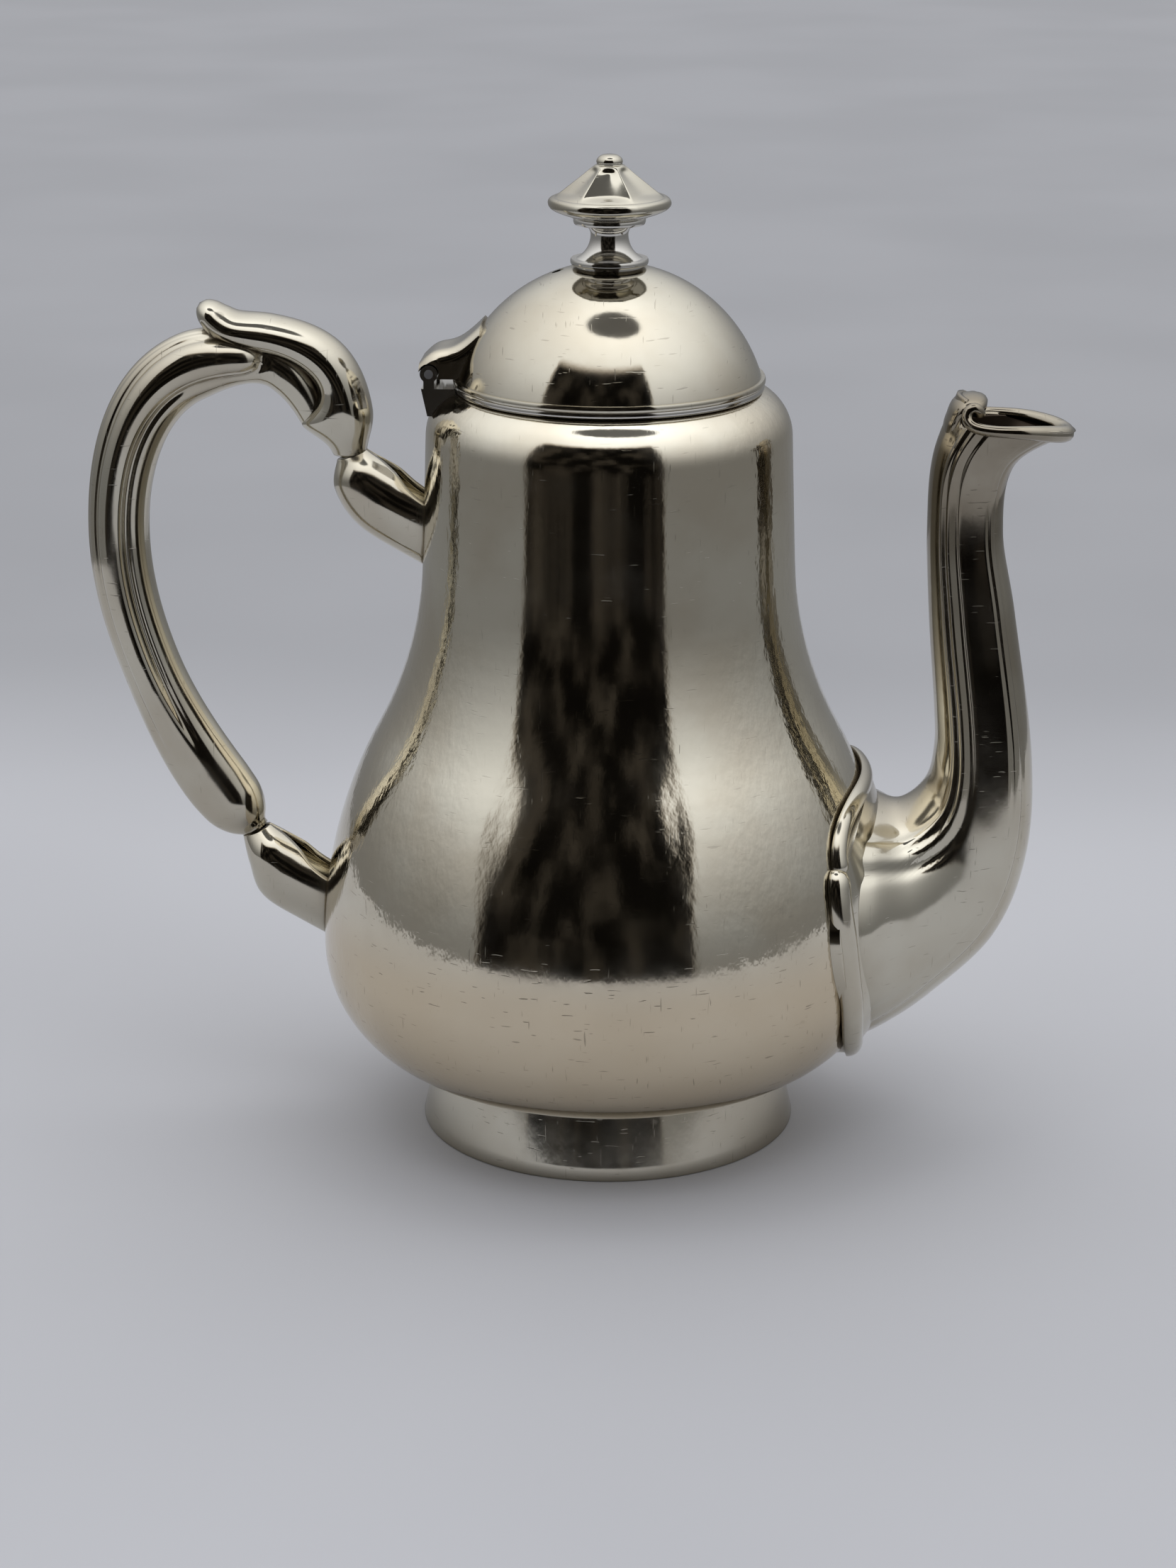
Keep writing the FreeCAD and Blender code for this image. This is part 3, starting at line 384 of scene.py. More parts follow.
def metal(name, colour, tarnish, rough, peel, wear, stain=0.0, tarnish_and_shade_reach=3.5, patina=0.0):
    """Plated metal with a rippled skin, hairline scratches, small nicks, and dark corners that are partly
    tarnish and partly painted shade.
    """
    material = bpy.data.materials.new(name)
    material.use_nodes = True
    tree = material.node_tree
    shader = tree.nodes["Principled BSDF"]
    shader.inputs["Metallic"].default_value = 1.0
    place = add(tree, "ShaderNodeTexCoord").outputs["Object"]

    clouds = noise(tree, place, 38, detail=4)
    shade = mixed(tree, ramp(tree, clouds, 0.35, 0.68, 0.0, 0.55), (*colour, 1), (*tarnish, 1))
    # Warmer and more worn towards the bottom: below a mottled height between the two levels the plating turns
    # a paler tarnish colour and gets more scratches
    if stain:
        level = maths(tree, "ADD", axis(tree, place, "Z"), maths(tree, "MULTIPLY", clouds, 12 * MM))
        low = ramp(tree, level, *LOW_WARMTH_LEVELS, stain, 0.0)
        wear = maths(tree, "ADD", wear, low)
        shade = mixed(tree, low, shade, shaded(tarnish, 1.16, 1.1, 1.02))
    if patina:
        high = ramp(tree, axis(tree, place, "Z"), *PATINA_LEVELS, 0.0, patina)
        high = maths(tree, "MULTIPLY", high, ramp(tree, clouds, 0.25, 0.55, 0.6, 1.0))
        shade = mixed(tree, high, shade, shaded(tarnish, 0.30, 0.27, 0.24))
    # Partly tarnish and partly painted shade: where ambient occlusion finds corners, creases and joints
    # between parts within the given reach, the plating is painted dark brown
    tarnish_and_shade_occlusion = add(tree, "ShaderNodeAmbientOcclusion", samples=6, only_local=False)
    tarnish_and_shade_occlusion.inputs["Distance"].default_value = tarnish_and_shade_reach * MM
    depth = ramp(tree, tarnish_and_shade_occlusion.outputs["AO"], 0.35, 0.8, 0.75, 0.0)
    shade = mixed(tree, depth, shade, shaded(tarnish, 0.32, 0.29, 0.25))

    fine = noise(tree, place, 620, (1, 1, 0.55), 2)
    if stain:
        aside = maths(tree, "ABSOLUTE", axis(tree, place, "X"))
        peel = ramp(tree, aside, *RIPPLE_SIDES, 0.25 * peel, peel)
    scratch_a = noise(tree, place, 260, (1, 1, 9), 1, (0.5, 0.9, 0.3))
    scratch_b = noise(tree, place, 240, (10, 1, 1), 1, (0.2, 0.4, 1.1))
    lines = maths(tree, "MAXIMUM", ramp(tree, scratch_a, 0.70, 0.78), ramp(tree, scratch_b, 0.71, 0.79))
    nick = add(tree, "ShaderNodeTexVoronoi", feature="F1")
    feed(tree, nick.inputs["Vector"], place)
    nick.inputs["Scale"].default_value = 95
    few = ramp(tree, noise(tree, place, 60, detail=1), 0.60, 0.66)
    pits = maths(tree, "MULTIPLY", ramp(tree, nick.outputs["Distance"], 0.06, 0.12, 1.0, 0.0), few)
    marks = maths(tree, "MULTIPLY", maths(tree, "MAXIMUM", lines, pits), wear, True)
    shade = mixed(tree, maths(tree, "MULTIPLY", marks, 0.45), shade, (0.10, 0.08, 0.06, 1))
    feed(tree, shader.inputs["Base Color"], shade)

    dull = ramp(tree, noise(tree, place, 75, detail=5), 0.3, 0.75, rough * 0.7, rough * 1.5)
    dull = maths(tree, "ADD", dull, maths(tree, "MULTIPLY", marks, 0.14))
    dull = maths(tree, "ADD", dull, maths(tree, "MULTIPLY", depth, 0.25))
    feed(tree, shader.inputs["Roughness"], dull)

    height = maths(tree, "MULTIPLY", fine, peel)
    height = maths(tree, "SUBTRACT", height, maths(tree, "MULTIPLY", marks, 0.5))
    surface = add(tree, "ShaderNodeBump")
    surface.inputs["Strength"].default_value = 0.35
    surface.inputs["Distance"].default_value = 0.06 * MM
    feed(tree, surface.inputs["Height"], height)
    feed(tree, shader.inputs["Normal"], surface.outputs["Normal"])
    return material


# Sizes and colours


class PotFinish(bpy.types.PropertyGroup):
    """Colours and wear of the metal."""
    silver: FloatVectorProperty(
        name="Silver", description="Colour of the clean plating", subtype="COLOR", size=3,
        default=(0.74, 0.70, 0.59), min=0, max=1)
    tarnish: FloatVectorProperty(
        name="Tarnish", description="Colour of the tarnished plating", subtype="COLOR", size=3,
        default=(0.56, 0.49, 0.375), min=0, max=1)
    steel: FloatVectorProperty(
        name="Steel", description="Colour of the screw and the pin", subtype="COLOR", size=3,
        default=(0.52, 0.52, 0.52), min=0, max=1)
    rough: FloatProperty(
        name="Roughness", description="How dull the plating is", subtype="FACTOR",
        default=0.085, min=0, max=1)


class PotBody(bpy.types.PropertyGroup):
    """The body and its dents."""
    wall: FloatProperty(name="Wall", description="Thickness of the wall", default=1.0 * MM, unit="LENGTH")
    dent: FloatProperty(name="Dent", description="Depth of the deepest dent", default=0.4 * MM, unit="LENGTH")
    bottom: FloatProperty(
        name="Bottom", description="Height of the flat bottom", default=14.0 * MM, unit="LENGTH")
    bottom_radius: FloatProperty(
        name="Bottom radius", description="Radius of the flat bottom", default=34.0 * MM, unit="LENGTH")
    belly: FloatProperty(name="Belly", description="Height of the belly", default=40.0 * MM, unit="LENGTH")
    belly_radius: FloatProperty(
        name="Belly radius", description="Radius of the belly", default=59.99 * MM, unit="LENGTH")
    shoulder: FloatProperty(
        name="Shoulder", description="Height where the shoulder starts", default=148.5 * MM, unit="LENGTH")
    shoulder_rise: FloatProperty(
        name="Shoulder rise", description="How high the shoulder is", default=9.2 * MM, unit="LENGTH")
    mouth: FloatProperty(name="Mouth", description="Height of the mouth", default=159.0 * MM, unit="LENGTH")
    mouth_radius: FloatProperty(
        name="Mouth radius", description="Radius of the mouth", default=30.2 * MM, unit="LENGTH")
    steps: IntProperty(name="Steps", description="Points round the body", default=192, min=48)


class PotSpout(bpy.types.PropertyGroup):
    """The spout and its ridges."""
    wall: FloatProperty(name="Wall", description="Thickness of the wall", default=1.1 * MM, unit="LENGTH")
    ridge: FloatProperty(name="Ridge", description="Height of the ridges", default=0.7 * MM, unit="LENGTH")
    mouth: FloatProperty(
        name="Mouth", description="Height of the mouth at its back", default=157.8 * MM, unit="LENGTH")
    mouth_step: FloatProperty(
        name="Mouth step", description="Step from its back to its sides", default=5.6 * MM, unit="LENGTH")
    mouth_fall: FloatProperty(
        name="Mouth fall", description="Fall from its sides to its lip", default=1.2 * MM, unit="LENGTH")
    steps: IntProperty(name="Steps", description="Rings along the spout", default=130, min=40)


class PotStage(bpy.types.PropertyGroup):
    """The floor, the light tent and the camera."""
    floor: FloatVectorProperty(
        name="Floor", description="Colour of the floor", subtype="COLOR", size=3,
        default=(0.545, 0.55, 0.582), min=0, max=1)
    wall: FloatProperty(
        name="Wall", description="Brightness of the tent's walls near the floor", default=0.22, min=0)
    tent: FloatProperty(
        name="Tent", description="Brightness that the tent gains to its top", default=0.75, min=0)
    lamp: FloatProperty(name="Lamp", description="Brightness that the lamp adds", default=1.0, min=0)
    room: FloatProperty(name="Room", description="Brightness of the open front", default=0.018, min=0)
    reach: FloatProperty(
        name="Reach", description="Radius of the tent's floor", default=0.47, unit="LENGTH")


class PotHandle(bpy.types.PropertyGroup):
    """The grip and its leaf."""
    grip_width: FloatProperty(name="Grip", description="Width of the grip", default=11.8 * MM, unit="LENGTH")
    leaf_width: FloatProperty(name="Leaf", description="Width of the leaf", default=13.0 * MM, unit="LENGTH")
    rib: FloatProperty(
        name="Rib", description="Height of the rib along the grip", default=0.8 * MM, unit="LENGTH")
    rib_width: FloatProperty(
        name="Rib width", description="Width of the rib", default=5.2 * MM, unit="LENGTH")


GROUPS = {
    "pot_finish": PotFinish, "pot_body": PotBody, "pot_spout": PotSpout, "pot_handle": PotHandle,
    "pot_stage": PotStage,
}


def plated(name, peel=0.5, wear=1.0, rough=1.0, stain=0.0, tarnish_and_shade_reach=3.5, patina=0.0, tone=1.0):
    """The plating in the pot's colours."""
    look = bpy.context.scene.pot_finish
    silver, tarnish = (shaded(colour, tone, tone, tone)[:3] for colour in (look.silver, look.tarnish))
    return metal(name, silver, tarnish, look.rough * rough, peel, wear, stain, tarnish_and_shade_reach, patina)


def plating(name):
    """One of the finishes, made once."""
    return bpy.data.materials.get(name) or plated(name, **FINISHES[name])


# Pieces


class POT_OT_body(bpy.types.Operator):
    """Spins the body's wall and presses its dents in"""
    bl_idname = "coffee_pot.body"
    bl_label = "Dented body"

    def execute(self, context):
        sizes = context.scene.pot_body
        solid = wall_tree()

        def radius(height):
            return wall_reach(solid, Vector((0, -1, height)))

        outside = [(reach * MM, sizes.bottom) for reach in (0, 12, 24, 31)]
        for step in range(25):
            angle = math.pi / 2 * step / 24
            outside.append((
                sizes.bottom_radius + (sizes.belly_radius - sizes.bottom_radius) * math.sin(angle),
                sizes.belly - (sizes.belly - sizes.bottom) * math.cos(angle),
            ))
        for step in range(1, 91):
            height = sizes.belly + (sizes.shoulder - sizes.belly) * step / 90
            outside.append((radius(height), height))
        for step in range(1, 21):
            height = sizes.shoulder + sizes.shoulder_rise * math.sin(math.pi / 2 * step / 20)
            outside.append((radius(height), height))
        outside.append((sizes.mouth_radius, sizes.mouth))
        inside = []
        for number in range(len(outside) - 1, 2, -1):
            reach, height = outside[number]
            before = outside[number - 1]
            after = outside[min(len(outside) - 1, number + 1)]
            along = Vector((after[0] - before[0], after[1] - before[1])).normalized()
            inside.append((reach - along.y * sizes.wall, height + along.x * sizes.wall))
        inside[0] = (sizes.mouth_radius - sizes.wall, sizes.mouth)
        inside.append((0.0, sizes.bottom + sizes.wall))
        rows = []
        for reach, height in outside + inside:
            ring = []
            for step in range(sizes.steps):
                turn = math.tau * step / sizes.steps
                side = math.degrees(math.remainder(turn, math.tau))
                push = 0.0
                for centre, level, across, up, share in DENTS:
                    arc = math.radians(side - centre) * reach / MM
                    push += share * sizes.dent * bump(arc, 0, across) * bump(height / MM, level, up)
                out = reach - push
                ring.append(Vector((out * math.sin(turn), -out * math.cos(turn), height)))
            rows.append(ring)
        piece = skin("dented_body", rows)
        dress(piece, POT, "silver_plate", plating("body_silver"), *BODY_NODES)
        return {"FINISHED"}


class POT_OT_spout(bpy.types.Operator):
    """Draws the spout through its stations, with ridges, creases and a band along its sides"""
    bl_idname = "coffee_pot.spout"
    bl_label = "Ridged spout"

    def execute(self, context):
        sizes = context.scene.pot_spout
        solid = wall_tree()
        last = len(SPOUT_STATIONS) - 1
        stations = [(*row, pear) for row, pear in zip(SPOUT_STATIONS, SPOUT_PEAR)]

        def relief(share, at):
            base = 1 - smoothstep(1.0, 4.0, at)
            fade = 1 - 0.7 * smoothstep(8.0, 8.8, at)
            places = [stem + (foot - stem) * base for stem, foot, _, _ in RIDGES]
            rise = sum(row[2] * bump(share, place, row[3]) for place, row in zip(places, RIDGES))
            crease, line, edge = places[2:]
            middle, wide = (crease + line) / 2, (line - crease) / 2
            rise -= 1.35 * max(0.0, 1 - ((share - middle) / wide) ** 2)
            rise -= 0.5 * smoothstep(edge - 0.005, edge + 0.012, share)
            return rise * fade * sizes.ridge

        def surface(turn, at, shrink):
            back_x, back_z, front_x, front_z, width, pear = spline(stations, at)
            share = abs(math.remainder(turn, math.tau)) / math.pi
            grow = relief(share, at) / MM if not shrink else -shrink / MM
            back = Vector((back_x, 0, back_z))
            front = Vector((front_x, 0, front_z))
            depth = (front - back).length / 2 + grow
            half = width / 2 + grow
            thin = 1 + pear * (1 + math.cos(turn)) / 2
            middle = (back + front) / 2
            along = (front - back).normalized()
            place = middle - along * depth * math.cos(turn) - Vector((0, half * math.sin(turn) * thin, 0))
            return place * MM

        def rim(turn):
            share = abs(math.remainder(turn, math.tau)) / math.pi
            level = sizes.mouth - sizes.mouth_step * smoothstep(0.14, 0.24, share)
            level -= sizes.mouth_fall * smoothstep(0.4, 1.0, share)
            low, high = 7.5, float(last)
            for _ in range(20):
                middle = (low + high) / 2
                under = surface(turn, middle, sizes.wall / 2).z < level
                low, high = (middle, high) if under else (low, middle)
            return (low + high) / 2

        columns = 160
        turns = [math.tau * column / columns for column in range(columns)]
        ends = [rim(turn) for turn in turns]
        rows = []
        for shrink, count in ((0.0, sizes.steps), (sizes.wall, sizes.steps // 2)):
            starts = [
                meets(solid, lambda at, t=turn: surface(t, at, shrink), 0.0, 3.0, SINK) for turn in turns]
            layer = [
                [surface(turn, start + (end - start) * step / (count - 1), shrink)
                 for turn, start, end in zip(turns, starts, ends)]
                for step in range(count)]
            rows += layer if not shrink else layer[::-1]
        rows.append(rows[0])
        piece = skin("ridged_spout", rows)
        dress(piece, POT, "silver_plate", plating("spout_silver"), "spout_near_half", "spout_far_half")
        low = 6.5
        layers = [
            [[surface(turn, low + (end - 0.06 - low) * step / 60, sizes.wall + thick * MM)
              for turn, end in zip(turns, ends)]
             for step in range(61)]
            for thick in (0.03, 0.20)]
        rows = layers[0] + layers[1][::-1]
        rows.append(rows[0])
        lining = skin("spout_lining", rows)
        stain = metal("coffee_stain", (0.09, 0.07, 0.055), (0.05, 0.036, 0.025), 0.45, 0.6, 0.3)
        dress(lining, POT, "silver_plate", stain)
        return {"FINISHED"}


class POT_OT_mouth(bpy.types.Operator):
    """Puts the scroll over the spout's mouth and the bead round it"""
    bl_idname = "coffee_pot.mouth"
    bl_label = "Spout mouth"

    def execute(self, context):
        at, marks = through([(row[0], row[1]) for row in SCROLL])
        rows = []
        steps = 26
        for step in range(steps):
            share = step / (steps - 1)
            middle, normal = flow(at, share)
            middle = Vector((-middle.x, 0, middle.z))
            normal = Vector((normal.x, 0, -normal.z))
            close = math.sqrt(max(0.0, 1 - max(0.0, (share - 0.86) / 0.14) ** 2.6))
            depth = eased(marks, [row[2] for row in SCROLL], share) * close
            half = eased(marks, [row[3] for row in SCROLL], share) * close
            angles = [math.tau * column / 32 for column in range(32)]
            rows.append([
                (middle + normal * depth * math.cos(angle) + Vector((0, half * math.sin(angle), 0))) * MM
                for angle in angles])
        scroll = skin("spout_scroll", rows)
        dress(scroll, POT, "silver_plate", plating("spout_silver"))
        near = [Vector(place) * MM for place in MOUTH_BEAD]
        far = [Vector((place.x, -place.y, place.z)) for place in reversed(near[:-1])]
        deselect()
        bpy.ops.curve.primitive_bezier_curve_add()
        bead = bpy.context.object
        bead.name = "mouth_bead"
        bead.data.splines.clear()
        line = bead.data.splines.new("NURBS")
        line.points.add(len(near) + len(far) - 1)
        for point, place in zip(line.points, near + far):
            point.co = (*place, 1)
            point.radius = 1 + 0.5 * smoothstep(80 * MM, 90 * MM, place.x)
        line.order_u = 4
        line.use_endpoint_u = True
        line.resolution_u = 8
        bead.data.bevel_depth = 1.15 * MM
        bead.data.bevel_resolution = 4
        bead.data.use_fill_caps = True
        bpy.ops.object.convert(target="MESH")
        bead = bpy.context.object
        bpy.ops.object.shade_smooth()
        dress(bead, POT, "silver_plate", plating("spout_silver"))
        return {"FINISHED"}


class POT_OT_border(bpy.types.Operator):
    """Lays the half-round border of the spout's flange on the body"""
    bl_idname = "coffee_pot.border"
    bl_label = "Flange border"

    def execute(self, context):
        solid = wall_tree()
        upper = [*self.mirrored(UPPER_BORDER)[:-1], *UPPER_BORDER]
        lower = [*LOWER_BORDER, *self.mirrored(LOWER_BORDER)[1:]]
        self.lay("upper_border", solid, upper, 2.3 * MM, 2.3 * MM)
        self.lay("lower_border", solid, lower, 3.1 * MM, 2.9 * MM)
        return {"FINISHED"}

    def mirrored(self, line):
        return [(-across, height) for across, height in reversed(line)]

    def lay(self, name, solid, run, half, rise):
        at, _ = through(run)

        def place(share):
            across, height = at(min(1.0, max(0.0, share))) * MM
            reach = wall_reach(solid, Vector((0, -1, height)))
            return Vector((math.sqrt(max(0.0, reach ** 2 - across ** 2)), across, height))

        rows = []
        steps = 150
        for step in range(steps):
            share = step / (steps - 1)
            here = place(share)
            along = (place(share + 2e-3) - place(share - 2e-3)).normalized()
            up = Vector((here.x, here.y, 0)).normalized()
            side = along.cross(up).normalized()
            up = side.cross(along).normalized()
            end = min(share, 1 - share) / 0.03
            close = math.sqrt(max(0.0, 1 - max(0.0, 1 - end) ** 2))
            ring = []
            for column in range(28):
                angle = math.tau * column / 28
                high = math.sin(angle)
                ring.append(here + side * half * math.cos(angle) * close
                            + up * (rise * close * high if high > 0 else 0.3 * MM * high))
            rows.append(ring)
        piece = skin(name, rows)
        dress(piece, POT, "silver_plate", plating("spout_silver"))


class POT_OT_handle(bpy.types.Operator):
    """Draws the grip with the rib along its sides, and the leaf over it"""
    bl_idname = "coffee_pot.handle"
    bl_label = "Ribbed grip and leaf"

    def execute(self, context):
        self.grip(context.scene.pot_handle)
        self.leaf(context.scene.pot_handle)
        return {"FINISHED"}

    def grip(self, sizes):
        at, marks = through(GRIP_STATIONS)
        depths = [row[2] / 2 for row in GRIP_STATIONS]
        widest = sizes.grip_width / 2 / MM
        begin = marks[1] + 0.46 * (marks[2] - marks[1])
        finish = marks[5] - 0.1 * (marks[5] - marks[4])
        length = sum(math.dist(a[:2], b[:2]) for a, b in zip(GRIP_STATIONS, GRIP_STATIONS[1:]))
        girth = math.pi * widest
        steps = 220
        columns = 144
        rows = []
        for step in range(steps):
            share = step / (steps - 1)
            middle, normal = flow(at, share)
            depth = eased(marks, depths, share)
            width = widest * min(1.0, depth / depths[3])
            fade = 1 - smoothstep(finish - 0.20, finish, share)
            over = min(0.0, share - begin) * length
            broad = sizes.rib_width / 2 / MM * (1.5 - 0.5 * smoothstep(begin, begin + 0.24, share))
            line = fade * smoothstep(begin - 0.02, begin + 0.06, share)
            head = math.sqrt(max(0.0, 1 - max(0.0, 1 - share / 0.025) ** 2))
            tail = math.sqrt(max(0.0, 1 - max(0.0, (share - 0.94) / 0.06) ** 2))
            shut = max(min(head, tail), 0.45 if share > 0.5 else 0.02)
            ring = []
            for column in range(columns):
                turn = math.tau * column / columns
                part = abs(math.remainder(turn, math.tau)) / math.pi
                reach = math.hypot(over, (part - 0.545) * girth) / broad
                rise = (2.0 * math.sqrt(max(0.0, 1 - reach ** 2)) - 0.7 * bump(reach, 1.15, 0.28)) * fade
                rise -= 0.45 * bump((part - 0.36) * girth, 0, 0.5) * line
                rise -= 0.40 * bump((part - 0.87) * girth, 0, 0.35) * line
                rise *= sizes.rib / MM
                across = Vector((0, (width * shut + rise) * math.sin(turn), 0))
                ring.append((middle - normal * (depth * shut + 0.3 * rise) * math.cos(turn) - across) * MM)
            rows.append(ring)
        piece = skin("ribbed_grip", rows)
        finish = plating("grip_silver")
        dress(piece, POT, "silver_plate", finish, "handle_near_half", "handle_far_half")

    def leaf(self, sizes):
        at, marks = through(LEAF_STATIONS)
        depths = [row[2] / 2 for row in LEAF_STATIONS]
        neck = depths[0]
        widest = sizes.leaf_width / 2 / MM
        steps = 120
        columns = 96
        rows = []
        for step in range(steps):
            share = step / (steps - 1)
            middle, normal = flow(at, share)
            depth = eased(marks, depths, share)
            low = 1 - 0.1 * smoothstep(0.05, 0.45, share) + 1.1 * bump(share, 0.14, 0.11)
            half = neck + (widest - neck) * math.sin(math.pi / 2 * min(1.0, 4.5 * share))
            half *= 1 - 0.35 * smoothstep(0.78, 1.0, share)
            close = math.sqrt(max(0.0, 1 - max(0.0, (share - 0.94) / 0.06) ** 2))
            ring = []
            for column in range(columns):
                turn = math.tau * column / columns
                up = -math.cos(turn)
                lift = depth * (up if up > 0 else up * low)
                across = Vector((0, half * math.sin(turn) * close, 0))
                ring.append((middle + normal * lift * close - across) * MM)
            rows.append(ring)
        piece = skin("curled_leaf", rows)
        dress(piece, POT, "silver_plate", plating("grip_silver"), "thumb_leaf")


class POT_OT_sockets(bpy.types.Operator):
    """Draws the two open buds that carry the handle on the body"""
    bl_idname = "coffee_pot.sockets"
    bl_label = "Bud sockets"

    def execute(self, context):
        solid = wall_tree()
        for node, (x, z, heel) in SOCKETS.items():
            # lower edge, upper edge, half width, keel and open angle at each station
            stations = [
                (x - 3.0, z - 1.2, x + 3.0, z + 1.2, 3.0, 0.0, 0.0),
                (x - heel, z - 7.0, x + 5.4, z - 0.3, 6.0, 0.05, 0.0),
                (x + 0.9, z - 14.4, x + 9.6, z - 2.6, 7.2, 0.15, 0.10),
                (x + 10.0, z - 20.4, x + 15.4, z - 5.8, 7.4, 0.22, 0.24),
                (x + 25.0, z - 28.4, x + 29.0, z - 11.0, 7.4, 0.30, 0.30),
            ]

            def shell(part, at, thick):
                low_x, low_z, high_x, high_z, half, keel, open_share = spline(stations, at)
                low = Vector((low_x, 0, low_z))
                high = Vector((high_x, 0, high_z))
                gap = max(0.0, open_share)
                turn = math.copysign(math.pi * (gap + (1 - gap) * abs(part)), part)
                room = min(thick, 0.9 * half)
                depth = (low - high).length / 2 - room
                thin = 1 - keel * (1 - math.cos(turn)) / 2
                middle = (low + high) / 2
                along = (high - low).normalized()
                return (middle + along * depth * math.cos(turn)
                        + Vector((0, (half - room) * math.sin(turn) * thin, 0))) * MM

            points = 40
            parts = [-1 + 2 * (k + 0.5) / points for k in range(points)]
            parts = sorted(parts, key=lambda part: part if part > 0 else part + 2)
            lines = [(part, 0.0) for part in parts] + [(part, 1.1) for part in reversed(parts)]
            last = len(stations) - 1.0
            ends = [
                meets(solid, lambda at, p=part, t=thick: shell(p, last - at, t), 0.0, 3.0, SINK)
                for part, thick in lines]
            steps = 60
            rows = [
                [shell(part, (last - end) * step / (steps - 1), thick)
                 for (part, thick), end in zip(lines, ends)]
                for step in range(steps)]
            piece = skin("bud_" + node, rows)
            dress(piece, POT, "silver_plate", plating("grip_silver"), node)
        return {"FINISHED"}


class POT_OT_foot(bpy.types.Operator):
    """Spins the spread foot"""
    bl_idname = "coffee_pot.foot"
    bl_label = "Foot"

    def execute(self, context):
        steps = 160
        turns = [math.tau * step / steps for step in range(steps)]
        rows = [
            [Vector((reach * math.cos(turn), reach * math.sin(turn), height)) * MM for turn in turns]
            for reach, height in FOOT]
        piece = skin("spread_foot", rows)
        bpy.ops.object.shade_smooth_by_angle(angle=math.radians(38))
        dress(piece, POT, "silver_plate", plating("foot_silver"), "foot_ring")
        return {"FINISHED"}


class POT_OT_lid(bpy.types.Operator):
    """Shapes the finial's panelled cap and the swept hood over the hinge"""
    bl_idname = "coffee_pot.lid"
    bl_label = "Finial cap and hood"

    def execute(self, context):
        self.cap()
        self.hood()
        return {"FINISHED"}

    def cap(self):
        steps = 180
        rows = []
        for number in range(4 * (len(CAP) - 1) + 1):
            reach, height = spline(CAP, number / 4)
            scoop = (2.1 - 0.1 * height) * smoothstep(4.0, 5.2, height) * (1 - smoothstep(9.0, 10.4, height))
            scoop += 0.3 * bump(height, 3.0, 0.9)
            ring = []
            for step in range(steps):
                turn = math.tau * step / steps
                panel = (0.5 + 0.5 * math.cos(6 * turn)) ** 0.45
                out = max(0.0, reach - scoop * panel if reach > 3 else reach)
                ring.append(Vector((out * math.sin(turn), -out * math.cos(turn), CAP_FOOT + height)) * MM)
            rows.append(ring)
        piece = skin("panelled_cap", rows)
        dress(piece, LID, "silver_plate", plating("finial_silver"), "finial_cap")

    def hood(self):
        at, _ = through(HOOD_TOP)
        near = (0.3, 0.6, 0.76, 0.84, 0.9, 0.95, 0.985, 1.0)
        rows = []
        for share in (*(-side for side in reversed(near)), 0.0, *near):
            across = HOOD_HALF * share
            round_off = 2.6 * (1 - math.sqrt(1 - max(0.0, (abs(share) - 0.66) / 0.34) ** 2))
            ring = []
            for step in range(25):
                x, z = at(step / 24)
                lowest = HOOD_FOOT + 0.1 if x > -34.2 else z - 1.5
                ring.append(Vector((x, across, max(z - round_off, lowest))))
            crest = ring[-1].z
            for step in range(13):
                level = crest + (HOOD_FOOT - crest) * (step + 1) / 13
                reach = math.sqrt(DOME_RADIUS ** 2 - (level - DOME_CENTRE) ** 2 - across ** 2)
                ring.append(Vector((-reach, across, level)))
            ring.append(Vector((HINGE_X + 2.0, across, HOOD_FOOT)))
            for step in range(9):
                turn = math.radians(-25 + 160 * step / 8)
                ring.append(Vector((
                    HINGE_X + HINGE_ROOM * math.cos(turn), across, HINGE_Z + HINGE_ROOM * math.sin(turn))))
            rows.append([place * MM for place in ring])
        piece = skin("swept_hood", rows)
        bpy.ops.object.shade_smooth_by_angle(angle=math.radians(40))
        dress(piece, LID, "silver_plate", plating("lid_silver"), "hinge_hood")


class POT_OT_finish(bpy.types.Operator):
    """Gives the solids that show their metal"""
    bl_idname = "coffee_pot.finish"
    bl_label = "Metal of the solids"

    def execute(self, context):
        look = context.scene.pot_finish
        silver = plating("silver_plate")
        steel = metal("turned_steel", look.steel, [part * 0.8 for part in look.steel], 0.24, 0.3, 0.6)
        finishes = {"spout_flange": plating("spout_silver")}
        for name in ("lid_dome", "lid_rim", "lid_bezel"):
            finishes[name] = plating("lid_silver")
        slots = {part["node"]: part["material_slot"] for part in frame["record"]["subparts"]}
        for name, node in frame["nodes"].items():
            node.data.materials.clear()
            node.data.materials.append(finishes.get(name, steel if slots[name] == "steel" else silver))
        return {"FINISHED"}


